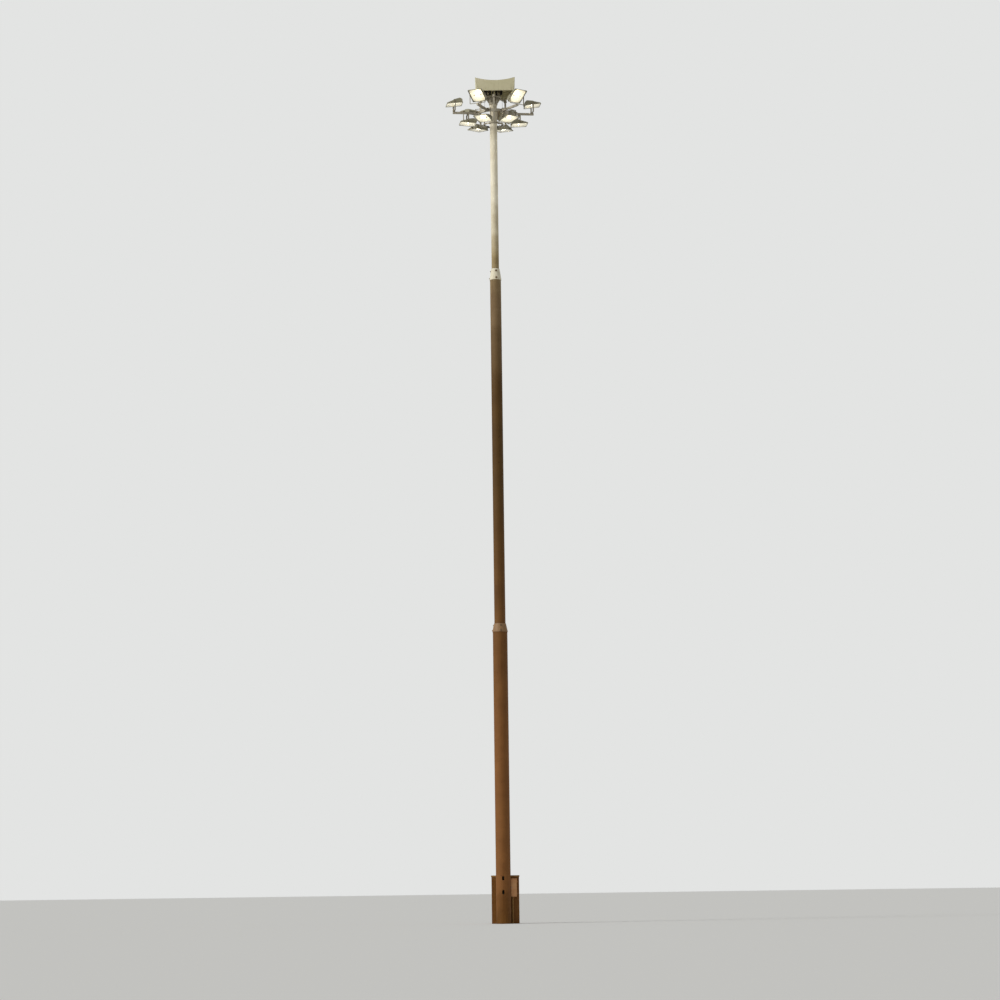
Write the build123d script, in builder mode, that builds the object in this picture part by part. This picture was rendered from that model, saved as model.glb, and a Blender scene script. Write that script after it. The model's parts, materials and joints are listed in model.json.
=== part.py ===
from build123d import *
from math import cos, radians, sin
import os

# High mast floodlight tower with a crown that is raised and lowered by a winch.
# Millimetres, +Z up, origin on the mast's axis at ground level, front towards -Y.

# mast tubes, from the ground up
LOWER_DIA = 533.0
LOWER_WALL = 10.0
MIDDLE_DIA = 406.4
MIDDLE_WALL = 8.8
TOP_DIA = 273.0
TOP_WALL = 7.1
BASE_PLATE = 25.0
TOP_TOP = 30600.0

# cone collars over the joints between the tubes
LOWER_COLLAR_Z = 10545.0
LOWER_COLLAR_H = 310.0
UPPER_COLLAR_Z = 23650.0
UPPER_COLLAR_H = 430.0
COLLAR_TOP_WALL = 16.0
COLLAR_FOOT_WALL = 7.0
COLLAR_LAP = 60.0
TUBE_LAP = 250.0
FIT = 1.0
LOWER_TOP = LOWER_COLLAR_Z + COLLAR_LAP
MIDDLE_TOP = UPPER_COLLAR_Z + COLLAR_LAP

# upright cable slots in the lowest tube
SLOT_W = 80.0
SLOT_H = 160.0
SLOT_HEIGHTS = (1125.0, 1625.0)
SLOT_X = -5.0

# head on the top of the mast
HEAD_SLEEVE_DIA = 323.9
HEAD_SLEEVE_H = 260.0
HEAD_PLATE_DIA = 600.0
HEAD_PLATE_T = 20.0
HEAD_BORE = 230.0
HEAD_RIBS = 6
HEAD_RIB_T = 10.0
DOCK_ARM_W = 60.0
DOCK_ARM_T = 12.0
SOCKET_R = 45.0
SOCKET_WALL = 6.0
SOCKET_H = 90.0
ROPE_DIA = 10.0
PULLEY_PATH_R = 140.0
PULLEY_W = 34.0
PULLEY_R_POS = 240.0
PULLEY_LIFT = 180.0
CHEEK_T = 8.0
CHEEK_GAP = 42.0
PIN_DIA = 24.0
ROPE_ANGLES = (93.0, 213.0, 333.0)
POST_ANGLES = (33.0, 153.0, 273.0)

# hood over the head
HOOD_TOP_W = 1480.0
HOOD_FOOT_W = 1350.0
HOOD_CLEAR = 120.0
HOOD_FOOT_Z = TOP_TOP + HOOD_CLEAR
HOOD_H = 485.0
HOOD_DECK = 300.0
HOOD_SHEET = 4.0
HOOD_SAG = 105.0
HOOD_SHIFT = 75.0
HOOD_LIP = 30.0
HOOD_RIB_W = 60.0
HOOD_RIB_H = 30.0
HOOD_POST_DIA = 32.0
HOOD_POST_R = 235.0

# crown that carries the floodlights
CROWN_HANG = 590.0
CROWN_Z = TOP_TOP - CROWN_HANG
RING_R = 540.0
RING_W = 80.0
RING_H = 100.0
RING_WALL = 5.0
ARM_W = 60.0
ARM_H = 80.0
ARM_WALL = 4.0
ARM_END = 1520.0
ARM_COUNT = 6
ARM_START = 7.0
LUG_R = PULLEY_R_POS + PULLEY_PATH_R
GUSSET_L = 110.0
GUSSET_T = 8.0
CAGE_BAR = 50.0
CAGE_BAR_W = 30.0
CAGE_WALL = 3.0
CAGE_R = 365.0
CAGE_DROP = 440.0
CAGE_POST = 50.0
PAD_R = 305.0
PAD_W = 90.0
PAD_H = 60.0
PAD_EDGE = 6.0
DOCK_CONE = 70.0
DOCK_CLEAR = 8.0

# junction box that hangs from the ring
JUNCTION_ANGLE = -68.0
JUNCTION_W = 110.0
JUNCTION_D = 90.0
JUNCTION_H = 330.0
JUNCTION_SHEET = 3.0
JUNCTION_ROUND = 8.0
GLAND_DIA = 32.0
GLAND_H = 45.0

# floodlights and their stirrups
FLOOD_L = 600.0
FLOOD_W = 560.0
FLOOD_WALL = 3.0
FLOOD_ROUND = 16.0
FIN_COUNT = 7
FIN_T = 4.0
FIN_H = 22.0
GLASS_T = 5.0
FLOOD_BELOW = 60.0
UPPER_R = 1470.0
LOWER_R = 970.0
STIRRUP_H = 330.0
STIRRUP_W = 50.0
STIRRUP_T = 8.0
STIRRUP_GAP = 20.0
TRUNNION_DIA = 18.0
UPPER_TILTS = (8.0, 20.0, 20.0, -6.0, 32.0, 38.0)
LOWER_TILTS = (4.0, 6.0, 6.0, 4.0, 10.0, 10.0)

# cabinet behind the foot of the mast, with a switch box on its front
CABINET_X0 = -430.0
CABINET_X1 = 570.0
CABINET_CLEAR = 23.5
CABINET_Y0 = LOWER_DIA / 2 + CABINET_CLEAR
CABINET_D = 400.0
CABINET_H = 1670.0
CABINET_SHEET = 4.0
CAP_H = 60.0
CAP_OVER = 12.0
CABINET_FLANGE = 40.0
BRACKET_FOOT = 350.0
BRACKET_DROP = 270.0
BRACKET_W = 300.0
BRACKET_D = 120.0
BRACKET_H = 60.0
BRACKET_T = 8.0
BOX_CLEAR = 8.5
BOX_X0 = LOWER_DIA / 2 + BOX_CLEAR
BOX_W = 210.0
BOX_H = 660.0
BOX_DROP = 50.0
BOX_Z0 = CABINET_H - BOX_DROP - BOX_H
BOX_D = 170.0
BOX_SHEET = 3.0
RAIN_LIP = 45.0
DOOR_T = 20.0
DOOR_GAP = 5.0
HINGE_R = 7.0
HINGE_PIN = 4.0
HINGE_H = 60.0
CONDUIT_DIA = 50.0
CONDUIT_OFF = 60.0
CONDUIT_IN = 58.0
CLIP_LEVELS = (250.0, 760.0)

# winch in the foot of the mast
DRUM_R = 75.0
DRUM_W = 260.0
DRUM_Z = 820.0
HAUL_DIA = 14.0
SPREADER_Z = 2300.0
SPREADER_R = 130.0
SPREADER_T = 25.0

os.makedirs("parts", exist_ok=True)


def save(part, name):
    part.label = name
    export_step(part, f"parts/{name}.step")


def tube(diameter, wall, foot, top):
    """A plain round tube on the mast's axis."""
    with BuildPart() as body:
        with BuildSketch(Plane.XY.offset(foot)):
            Circle(diameter / 2)
            Circle(diameter / 2 - wall, mode=Mode.SUBTRACT)
        extrude(amount=top - foot)
    return body.part


def spoke_plane(angle, radius, z):
    """Plane whose local x points out along a spoke and whose normal is along the tangent."""
    out = Vector(cos(radians(angle)), sin(radians(angle)), 0)
    side = Vector(-sin(radians(angle)), cos(radians(angle)), 0)
    return Plane(origin=(out.X * radius, out.Y * radius, z), x_dir=out, z_dir=-side)


def collar(foot_z, height, lower_dia, upper_dia):
    """A cone sleeve whose foot slips over one tube and whose top hugs the next."""
    over = lower_dia / 2
    hug = upper_dia / 2
    with BuildPart() as body:
        with BuildSketch(Plane.XZ):
            with BuildLine():
                Polyline(
                    (over, foot_z),
                    (over + COLLAR_FOOT_WALL + 8, foot_z),
                    (over + COLLAR_FOOT_WALL + 8, foot_z + 25),
                    (hug + COLLAR_TOP_WALL, foot_z + height),
                    (hug, foot_z + height),
                    (hug, foot_z + COLLAR_LAP),
                    (over, foot_z + COLLAR_LAP),
                    close=True,
                )
            make_face()
        revolve(axis=Axis.Z)
    return body.part


# foot plate that closes the lowest tube
with BuildPart() as base_plate:
    with BuildSketch():
        Circle(LOWER_DIA / 2)
    extrude(amount=BASE_PLATE)
save(base_plate.part, "base_plate")

# lowest tube with its two upright slots
with BuildPart() as lower_tube:
    add(tube(LOWER_DIA, LOWER_WALL, BASE_PLATE, LOWER_TOP))
    for height in SLOT_HEIGHTS:
        with BuildSketch(Plane(origin=(SLOT_X, 0, height), x_dir=(1, 0, 0), z_dir=(0, -1, 0))):
            SlotOverall(SLOT_H, SLOT_W, rotation=90)
        extrude(amount=LOWER_DIA / 2 + 50, mode=Mode.SUBTRACT)
save(lower_tube.part, "lower_tube")

save(tube(MIDDLE_DIA, MIDDLE_WALL, LOWER_TOP - TUBE_LAP, MIDDLE_TOP), "middle_tube")
save(tube(TOP_DIA, TOP_WALL, MIDDLE_TOP - TUBE_LAP, TOP_TOP), "top_tube")
save(collar(LOWER_COLLAR_Z, LOWER_COLLAR_H, LOWER_DIA, MIDDLE_DIA), "lower_collar")
save(collar(UPPER_COLLAR_Z, UPPER_COLLAR_H, MIDDLE_DIA, TOP_DIA), "upper_collar")

# sleeve and round plate on the top of the mast
with BuildPart() as head_column:
    with BuildSketch(Plane.XY.offset(TOP_TOP - HEAD_SLEEVE_H)):
        Circle(HEAD_SLEEVE_DIA / 2)
        Circle(TOP_DIA / 2, mode=Mode.SUBTRACT)
    extrude(amount=HEAD_SLEEVE_H)
    with BuildSketch(Plane.XY.offset(TOP_TOP)):
        Circle(HEAD_PLATE_DIA / 2)
        Circle(HEAD_BORE / 2, mode=Mode.SUBTRACT)
    extrude(amount=HEAD_PLATE_T)
    for step in range(HEAD_RIBS):
        angle = POST_ANGLES[0] + (step + 0.5) * 360 / HEAD_RIBS
        rib = spoke_plane(angle, HEAD_SLEEVE_DIA / 2, TOP_TOP)
        with BuildSketch(rib.offset(-HEAD_RIB_T / 2)):
            with BuildLine():
                Polyline(
                    (-3, 0),
                    (HEAD_PLATE_DIA / 2 - HEAD_SLEEVE_DIA / 2 - 12, 0),
                    (HEAD_PLATE_DIA / 2 - HEAD_SLEEVE_DIA / 2 - 12, -20),
                    (10, -HEAD_SLEEVE_H * 0.75),
                    (-3, -HEAD_SLEEVE_H * 0.75),
                    close=True,
                )
            make_face()
        extrude(amount=HEAD_RIB_T)
save(head_column.part, "head_column")

HEAD_Z = TOP_TOP + HEAD_PLATE_T
PULLEY_Z = HEAD_Z + PULLEY_LIFT


# arms of the head, each with a funnel that the crown's docking post enters
with BuildPart() as docking_arms:
    for angle in POST_ANGLES:
        out = Vector(cos(radians(angle)), sin(radians(angle)), 0)
        across = Vector(-out.Y, out.X, 0)
        centre = out * RING_R
        arm = Plane(origin=(0, 0, TOP_TOP - DOCK_ARM_T), x_dir=out, z_dir=(0, 0, 1))
        with BuildSketch(arm):
            with Locations(((HEAD_PLATE_DIA / 2 - 60 + RING_R) / 2, 0)):
                Rectangle(RING_R - HEAD_PLATE_DIA / 2 + 60, DOCK_ARM_W)
            with Locations((RING_R, 0)):
                Circle(SOCKET_R + SOCKET_WALL + 6)
            Circle(HEAD_PLATE_DIA / 2 - 60, mode=Mode.SUBTRACT)
        extrude(amount=DOCK_ARM_T)
        web = Plane(origin=(0, 0, TOP_TOP - DOCK_ARM_T), x_dir=out, z_dir=-across)
        with BuildSketch(web.offset(-4)):
            with BuildLine():
                Polyline(
                    (HEAD_PLATE_DIA / 2, 0),
                    (RING_R - SOCKET_R - 2, 0),
                    (RING_R - SOCKET_R - 2, -SOCKET_H + 20),
                    (HEAD_PLATE_DIA / 2, -20),
                    close=True,
                )
            make_face()
        extrude(amount=8)
        socket = Plane(origin=(centre.X, centre.Y, 0), x_dir=out, z_dir=-across)
        with BuildSketch(socket):
            with BuildLine():
                Polyline(
                    (SOCKET_R, TOP_TOP - DOCK_ARM_T),
                    (SOCKET_R + SOCKET_WALL, TOP_TOP - DOCK_ARM_T),
                    (SOCKET_R + SOCKET_WALL + 14, TOP_TOP - SOCKET_H),
                    (SOCKET_R + 14, TOP_TOP - SOCKET_H),
                    close=True,
                )
            make_face()
        revolve(axis=Axis((centre.X, centre.Y, 0), (0, 0, 1)))
save(docking_arms.part, "docking_arms")

# cheeks and pins of the three pulleys
with BuildPart() as pulley_brackets:
    for angle in ROPE_ANGLES:
        plane = spoke_plane(angle, PULLEY_R_POS, PULLEY_Z)
        for way in (-1, 1):
            near = CHEEK_GAP / 2 if way > 0 else -CHEEK_GAP / 2 - CHEEK_T
            with BuildSketch(plane.offset(near)):
                with BuildLine():
                    Polyline(
                        (-70, -PULLEY_LIFT),
                        (55, -PULLEY_LIFT),
                        (35, 35),
                        (-35, 35),
                        close=True,
                    )
                make_face()
            extrude(amount=CHEEK_T)
        with BuildSketch(plane.offset(-CHEEK_GAP / 2 - CHEEK_T - 10)):
            Circle(PIN_DIA / 2)
        extrude(amount=CHEEK_GAP + 2 * CHEEK_T + 20)
save(pulley_brackets.part, "pulley_brackets")

# grooved pulleys
with BuildPart() as pulleys:
    for angle in ROPE_ANGLES:
        plane = spoke_plane(angle, PULLEY_R_POS, PULLEY_Z)
        rim = PULLEY_PATH_R + 12
        root = PULLEY_PATH_R - ROPE_DIA / 2 - FIT
        with BuildSketch(Plane(origin=plane.origin, x_dir=plane.x_dir, z_dir=(0, 0, 1))):
            with BuildLine():
                Polyline(
                    (PIN_DIA / 2 + 0.5, -PULLEY_W / 2),
                    (rim, -PULLEY_W / 2),
                    (rim, -PULLEY_W / 2 + 5),
                    (root, -ROPE_DIA / 2 - 1),
                    (root, ROPE_DIA / 2 + 1),
                    (rim, PULLEY_W / 2 - 5),
                    (rim, PULLEY_W / 2),
                    (PIN_DIA / 2 + 0.5, PULLEY_W / 2),
                    close=True,
                )
            make_face()
        revolve(axis=Axis(plane.origin, plane.z_dir))
save(pulleys.part, "pulleys")

# ropes from the spreader up inside the mast and over the pulleys
SPREADER_TOP = SPREADER_Z + SPREADER_T
with BuildPart() as hoist_ropes:
    for angle in ROPE_ANGLES:
        plane = spoke_plane(angle, PULLEY_R_POS, PULLEY_Z)
        with BuildLine(plane):
            Line((-PULLEY_PATH_R, SPREADER_TOP - PULLEY_Z), (-PULLEY_PATH_R, 0))
            CenterArc((0, 0), PULLEY_PATH_R, 180, -180)
        inner = Vector(cos(radians(angle)), sin(radians(angle)), 0) * (PULLEY_R_POS - PULLEY_PATH_R)
        with BuildSketch(Plane(origin=(inner.X, inner.Y, SPREADER_TOP), z_dir=(0, 0, 1))):
            RegularPolygon(ROPE_DIA / 2, 8)
        sweep()
save(hoist_ropes.part, "hoist_ropes")

# plate where the three ropes meet, and the haul rope down to the drum
with BuildPart() as rope_spreader:
    with BuildSketch(Plane.XY.offset(SPREADER_Z)):
        Circle(SPREADER_R)
    extrude(amount=SPREADER_T)
    with BuildSketch(Plane.XY.offset(DRUM_Z)):
        Circle(HAUL_DIA / 2)
    extrude(amount=SPREADER_Z - DRUM_Z)
save(rope_spreader.part, "rope_spreader")

with BuildPart() as winch_drum:
    drum_y = DRUM_R + HAUL_DIA / 2 + 0.5
    shaft = LOWER_DIA
    drum_plane = Plane(origin=(0, drum_y, DRUM_Z), x_dir=(0, 1, 0), z_dir=(1, 0, 0))
    with BuildSketch(drum_plane.offset(-DRUM_W / 2)):
        Circle(DRUM_R)
        Circle(DRUM_R - 10, mode=Mode.SUBTRACT)
    extrude(amount=DRUM_W)
    for way in (-DRUM_W / 2, DRUM_W / 2 - 10):
        with BuildSketch(drum_plane.offset(way)):
            Circle(DRUM_R + 30)
        extrude(amount=10)
    with BuildSketch(drum_plane.offset(-shaft / 2)):
        Circle(20)
    extrude(amount=shaft)
    with BuildSketch(Plane.XY.offset(DRUM_Z - 50)):
        Circle(LOWER_DIA)
        Circle(LOWER_DIA / 2 - LOWER_WALL, mode=Mode.SUBTRACT)
    extrude(amount=100, mode=Mode.SUBTRACT)
save(winch_drum.part, "winch_drum")

# hood: a tray of sheet, its sides flared towards the top and its rim dipping in the middle
HOOD_TOP_Z = HOOD_FOOT_Z + HOOD_H


def hood_width(z):
    return HOOD_FOOT_W + (HOOD_TOP_W - HOOD_FOOT_W) * (z - HOOD_FOOT_Z) / HOOD_H


hood_plane = Plane(origin=(HOOD_SHIFT, 0, 0), z_dir=(0, 0, 1))
hood_front = Plane(origin=(HOOD_SHIFT, 0, 0), x_dir=(1, 0, 0), z_dir=(0, -1, 0))
with BuildPart() as hood:
    deck_foot = HOOD_FOOT_Z + HOOD_DECK
    deck_top = deck_foot + HOOD_SHEET
    with BuildSketch(hood_plane.offset(HOOD_FOOT_Z)):
        Rectangle(HOOD_FOOT_W, HOOD_FOOT_W)
    with BuildSketch(hood_plane.offset(HOOD_TOP_Z)):
        Rectangle(HOOD_TOP_W, HOOD_TOP_W)
    loft()
    with BuildSketch(hood_plane.offset(HOOD_FOOT_Z)):
        Rectangle(HOOD_FOOT_W - 2 * HOOD_SHEET, HOOD_FOOT_W - 2 * HOOD_SHEET)
    with BuildSketch(hood_plane.offset(deck_foot)):
        Rectangle(hood_width(deck_foot) - 2 * HOOD_SHEET, hood_width(deck_foot) - 2 * HOOD_SHEET)
    loft(mode=Mode.SUBTRACT)
    with BuildSketch(hood_plane.offset(deck_top)):
        Rectangle(hood_width(deck_top) - 2 * HOOD_SHEET, hood_width(deck_top) - 2 * HOOD_SHEET)
    with BuildSketch(hood_plane.offset(HOOD_TOP_Z)):
        Rectangle(HOOD_TOP_W - 2 * HOOD_SHEET, HOOD_TOP_W - 2 * HOOD_SHEET)
    loft(mode=Mode.SUBTRACT)
    with BuildSketch(hood_front.offset(-HOOD_TOP_W)):
        with BuildLine():
            ThreePointArc(
                (-HOOD_TOP_W / 2 - 1, HOOD_TOP_Z),
                (0, HOOD_TOP_Z - HOOD_SAG),
                (HOOD_TOP_W / 2 + 1, HOOD_TOP_Z),
            )
            Line((HOOD_TOP_W / 2 + 1, HOOD_TOP_Z), (HOOD_TOP_W / 2 + 1, HOOD_TOP_Z + 50))
            Line((HOOD_TOP_W / 2 + 1, HOOD_TOP_Z + 50), (-HOOD_TOP_W / 2 - 1, HOOD_TOP_Z + 50))
            Line((-HOOD_TOP_W / 2 - 1, HOOD_TOP_Z + 50), (-HOOD_TOP_W / 2 - 1, HOOD_TOP_Z))
        make_face()
    extrude(amount=2 * HOOD_TOP_W, mode=Mode.SUBTRACT)
    with BuildSketch(hood_plane.offset(HOOD_FOOT_Z)):
        Rectangle(HOOD_FOOT_W, HOOD_FOOT_W)
        Rectangle(HOOD_FOOT_W - 2 * HOOD_LIP, HOOD_FOOT_W - 2 * HOOD_LIP, mode=Mode.SUBTRACT)
    extrude(amount=HOOD_SHEET)
    for way in (-1, 1):
        with BuildSketch(hood_plane.offset(deck_foot - HOOD_RIB_H)):
            with Locations((0, way * HOOD_FOOT_W * 0.36)):
                Rectangle(hood_width(deck_foot - HOOD_RIB_H) - 2 * HOOD_SHEET, HOOD_RIB_W)
                Rectangle(HOOD_TOP_W, HOOD_RIB_W - 2 * HOOD_SHEET, mode=Mode.SUBTRACT)
        extrude(amount=HOOD_RIB_H)
save(hood.part, "hood")

with BuildPart() as hood_posts:
    for angle in POST_ANGLES:
        spot = (HOOD_POST_R * cos(radians(angle)), HOOD_POST_R * sin(radians(angle)))
        with BuildSketch(Plane.XY.offset(HEAD_Z)):
            with Locations(spot):
                Circle(HOOD_POST_DIA / 2)
        extrude(amount=deck_foot - HEAD_Z)
        for level in (HEAD_Z, deck_foot - 10):
            with BuildSketch(Plane.XY.offset(level)):
                with Locations(spot):
                    Circle(HOOD_POST_DIA / 2 + 24)
            extrude(amount=10)
save(hood_posts.part, "hood_posts")

# crown frame: hollow box ring with six hollow arms and three rope lugs
with BuildPart() as crown_frame:
    with BuildSketch(Plane.XZ):
        with Locations((RING_R, CROWN_Z)):
            Rectangle(RING_W, RING_H)
            Rectangle(RING_W - 2 * RING_WALL, RING_H - 2 * RING_WALL, mode=Mode.SUBTRACT)
    revolve(axis=Axis.Z)
    ring_out = RING_R + RING_W / 2
    for step in range(ARM_COUNT):
        angle = ARM_START + step * 360 / ARM_COUNT
        out = Vector(cos(radians(angle)), sin(radians(angle)), 0)
        start = out * (ring_out - 3)
        with BuildSketch(Plane(origin=(start.X, start.Y, CROWN_Z), x_dir=(-out.Y, out.X, 0), z_dir=out)):
            Rectangle(ARM_W, ARM_H)
            Rectangle(ARM_W - 2 * ARM_WALL, ARM_H - 2 * ARM_WALL, mode=Mode.SUBTRACT)
        extrude(amount=ARM_END - ring_out + 3)
        end = out * (ARM_END - ARM_WALL)
        with BuildSketch(Plane(origin=(end.X, end.Y, CROWN_Z), x_dir=(-out.Y, out.X, 0), z_dir=out)):
            Rectangle(ARM_W, ARM_H)
        extrude(amount=ARM_WALL)
        for lift in (ARM_H / 2 - GUSSET_T, -ARM_H / 2):
            gusset = Plane(origin=(0, 0, CROWN_Z + lift), x_dir=out, z_dir=(0, 0, 1))
            with BuildSketch(gusset):
                with BuildLine():
                    Polyline(
                        (ring_out - 3 - GUSSET_L / 8, ARM_W / 2 + GUSSET_L),
                        (ring_out + GUSSET_L, ARM_W / 2),
                        (ring_out + GUSSET_L, -ARM_W / 2),
                        (ring_out - 3 - GUSSET_L / 8, -ARM_W / 2 - GUSSET_L),
                        close=True,
                    )
                make_face()
                with BuildLine():
                    Polyline(
                        (ring_out - 40, ARM_W / 2 - ARM_WALL),
                        (ARM_END, ARM_W / 2 - ARM_WALL),
                        (ARM_END, -ARM_W / 2 + ARM_WALL),
                        (ring_out - 40, -ARM_W / 2 + ARM_WALL),
                        close=True,
                    )
                make_face(mode=Mode.SUBTRACT)
                Circle(ring_out - 2, mode=Mode.SUBTRACT)
            extrude(amount=GUSSET_T)
    for angle in ROPE_ANGLES:
        plane = spoke_plane(angle, RING_R - RING_W / 2, CROWN_Z)
        reach = RING_R - RING_W / 2 - LUG_R
        with BuildSketch(plane.offset(-8)):
            with BuildLine():
                Polyline(
                    (2, -40),
                    (2, 40),
                    (-reach + 22, 30),
                    (-reach - 22, 30),
                    (-reach - 22, 0),
                    close=True,
                )
            make_face()
        extrude(amount=16)
save(crown_frame.part, "crown_frame")

# rope falls from the pulleys to the lugs, with their sockets
LUG_TOP = CROWN_Z + 30
with BuildPart() as rope_falls:
    for angle in ROPE_ANGLES:
        spot = (LUG_R * cos(radians(angle)), LUG_R * sin(radians(angle)))
        with BuildSketch(Plane.XY.offset(LUG_TOP)):
            with Locations(spot):
                Circle(ROPE_DIA / 2)
        extrude(amount=PULLEY_Z - LUG_TOP)
        with BuildSketch(Plane.XY.offset(LUG_TOP)):
            with Locations(spot):
                Circle(14)
        extrude(amount=90)
save(rope_falls.part, "rope_falls")

# cage under the crown: posts down to a guide ring that keeps the crown off the mast
CAGE_Z = CROWN_Z - CAGE_DROP
with BuildPart() as guide_cage:
    with BuildSketch(Plane.XZ):
        with Locations((CAGE_R, CAGE_Z)):
            Rectangle(CAGE_BAR_W, CAGE_BAR)
            Rectangle(CAGE_BAR_W - 2 * CAGE_WALL, CAGE_BAR - 2 * CAGE_WALL, mode=Mode.SUBTRACT)
    revolve(axis=Axis.Z)
    for angle in POST_ANGLES:
        out = Vector(cos(radians(angle)), sin(radians(angle)), 0)
        side = Vector(-out.Y, out.X, 0)
        post = Plane(origin=(out.X * RING_R, out.Y * RING_R, CAGE_Z), x_dir=out, z_dir=(0, 0, 1))
        with BuildSketch(post.offset(-CAGE_POST / 2)):
            Rectangle(CAGE_POST, CAGE_POST)
            Rectangle(CAGE_POST - 6, CAGE_POST - 6, mode=Mode.SUBTRACT)
        extrude(amount=CAGE_DROP - RING_H / 2 + CAGE_POST / 2)
        strut = Plane(
            origin=(out.X * (CAGE_R + CAGE_BAR_W / 2 - 2), out.Y * (CAGE_R + CAGE_BAR_W / 2 - 2), CAGE_Z),
            x_dir=side,
            z_dir=out,
        )
        with BuildSketch(strut):
            Rectangle(30, 30)
            Rectangle(24, 24, mode=Mode.SUBTRACT)
        extrude(amount=RING_R - CAGE_POST / 2 - CAGE_R - CAGE_BAR_W / 2 + 4)
save(guide_cage.part, "guide_cage")

# docking posts that stand on the ring, each with a cone that enters its funnel
DOCK_UP = TOP_TOP - SOCKET_H - CROWN_Z - RING_H / 2 - DOCK_CLEAR
with BuildPart() as docking_posts:
    for angle in POST_ANGLES:
        out = Vector(cos(radians(angle)), sin(radians(angle)), 0)
        foot = Plane(origin=(out.X * RING_R, out.Y * RING_R, CROWN_Z + RING_H / 2), x_dir=out, z_dir=(0, 0, 1))
        with BuildSketch(foot):
            Rectangle(CAGE_POST, CAGE_POST)
            Rectangle(CAGE_POST - 6, CAGE_POST - 6, mode=Mode.SUBTRACT)
        extrude(amount=DOCK_UP - 10)
        with BuildSketch(foot.offset(DOCK_UP - 10)):
            Rectangle(CAGE_POST + 24, CAGE_POST + 24)
        extrude(amount=10)
        with BuildSketch(foot.offset(DOCK_UP)):
            Circle(SOCKET_R - 12)
        with BuildSketch(foot.offset(DOCK_UP + DOCK_CONE)):
            Circle(SOCKET_R / 3)
        loft()
save(docking_posts.part, "docking_posts")

# rubber pads on the inside of the guide ring
with BuildPart() as pad_shape:
    with BuildSketch(Plane.YZ.offset(PAD_R)):
        Rectangle(PAD_W, PAD_H)
    extrude(amount=CAGE_R - PAD_R)
    chamfer(pad_shape.faces().sort_by(Axis.X)[0].edges(), PAD_EDGE)
    with BuildSketch(Plane.XY.offset(-PAD_H)):
        Circle(CAGE_R + PAD_W)
        Circle(CAGE_R - CAGE_BAR_W / 2, mode=Mode.SUBTRACT)
    extrude(amount=2 * PAD_H, mode=Mode.SUBTRACT)

with BuildPart() as guide_pads:
    for step in range(ARM_COUNT):
        with Locations(Location((0, 0, CAGE_Z), (0, 0, ARM_START + step * 360 / ARM_COUNT))):
            add(pad_shape.part)
save(guide_pads.part, "guide_pads")

# box of sheet with a cable gland in its foot
with BuildPart() as junction_box:
    out = Vector(cos(radians(JUNCTION_ANGLE)), sin(radians(JUNCTION_ANGLE)), 0)
    under = Plane(
        origin=(out.X * RING_R, out.Y * RING_R, CROWN_Z - RING_H / 2),
        x_dir=(-out.Y, out.X, 0),
        z_dir=(0, 0, -1),
    )
    with BuildSketch(under):
        RectangleRounded(JUNCTION_W, JUNCTION_D, JUNCTION_ROUND)
    extrude(amount=JUNCTION_H)
    with BuildSketch(under.offset(JUNCTION_SHEET)):
        RectangleRounded(
            JUNCTION_W - 2 * JUNCTION_SHEET,
            JUNCTION_D - 2 * JUNCTION_SHEET,
            JUNCTION_ROUND - JUNCTION_SHEET,
        )
    extrude(amount=JUNCTION_H - 2 * JUNCTION_SHEET, mode=Mode.SUBTRACT)
    with BuildSketch(under.offset(JUNCTION_H - JUNCTION_SHEET)):
        Circle(GLAND_DIA / 2)
    extrude(amount=JUNCTION_SHEET + GLAND_H)
save(junction_box.part, "junction_box")


# floodlight housing about its pivot: local x out, y across, glass facing down
FLOOD_FOOT = -FLOOD_BELOW
FRAME_IN = 8.0
FRAME_H = 26.0
HUMP = 118.0
BODY_W = FLOOD_W - 60
LEG_IN = FLOOD_W / 2 + STIRRUP_GAP
GLASS_FOOT = FLOOD_FOOT + 4
SEAT = 4 + GLASS_T


def wedge(inset):
    """Side outline of the housing's shell, drawn in by inset."""
    back = -FLOOD_L / 2 + FRAME_IN
    front = FLOOD_L / 2 - FRAME_IN
    with BuildSketch() as outline:
        with BuildLine():
            Polyline(
                (back, FLOOD_FOOT),
                (front, FLOOD_FOOT),
                (front, FLOOD_FOOT + 44),
                (60, HUMP * 0.52),
                (-FLOOD_L / 3, HUMP),
                (back, HUMP * 0.7),
                close=True,
            )
        make_face()
        fillet(outline.vertices().group_by(Axis.Y)[1:], FLOOD_ROUND)
        if inset:
            offset(amount=-inset, mode=Mode.REPLACE)
    return outline.sketch


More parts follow.
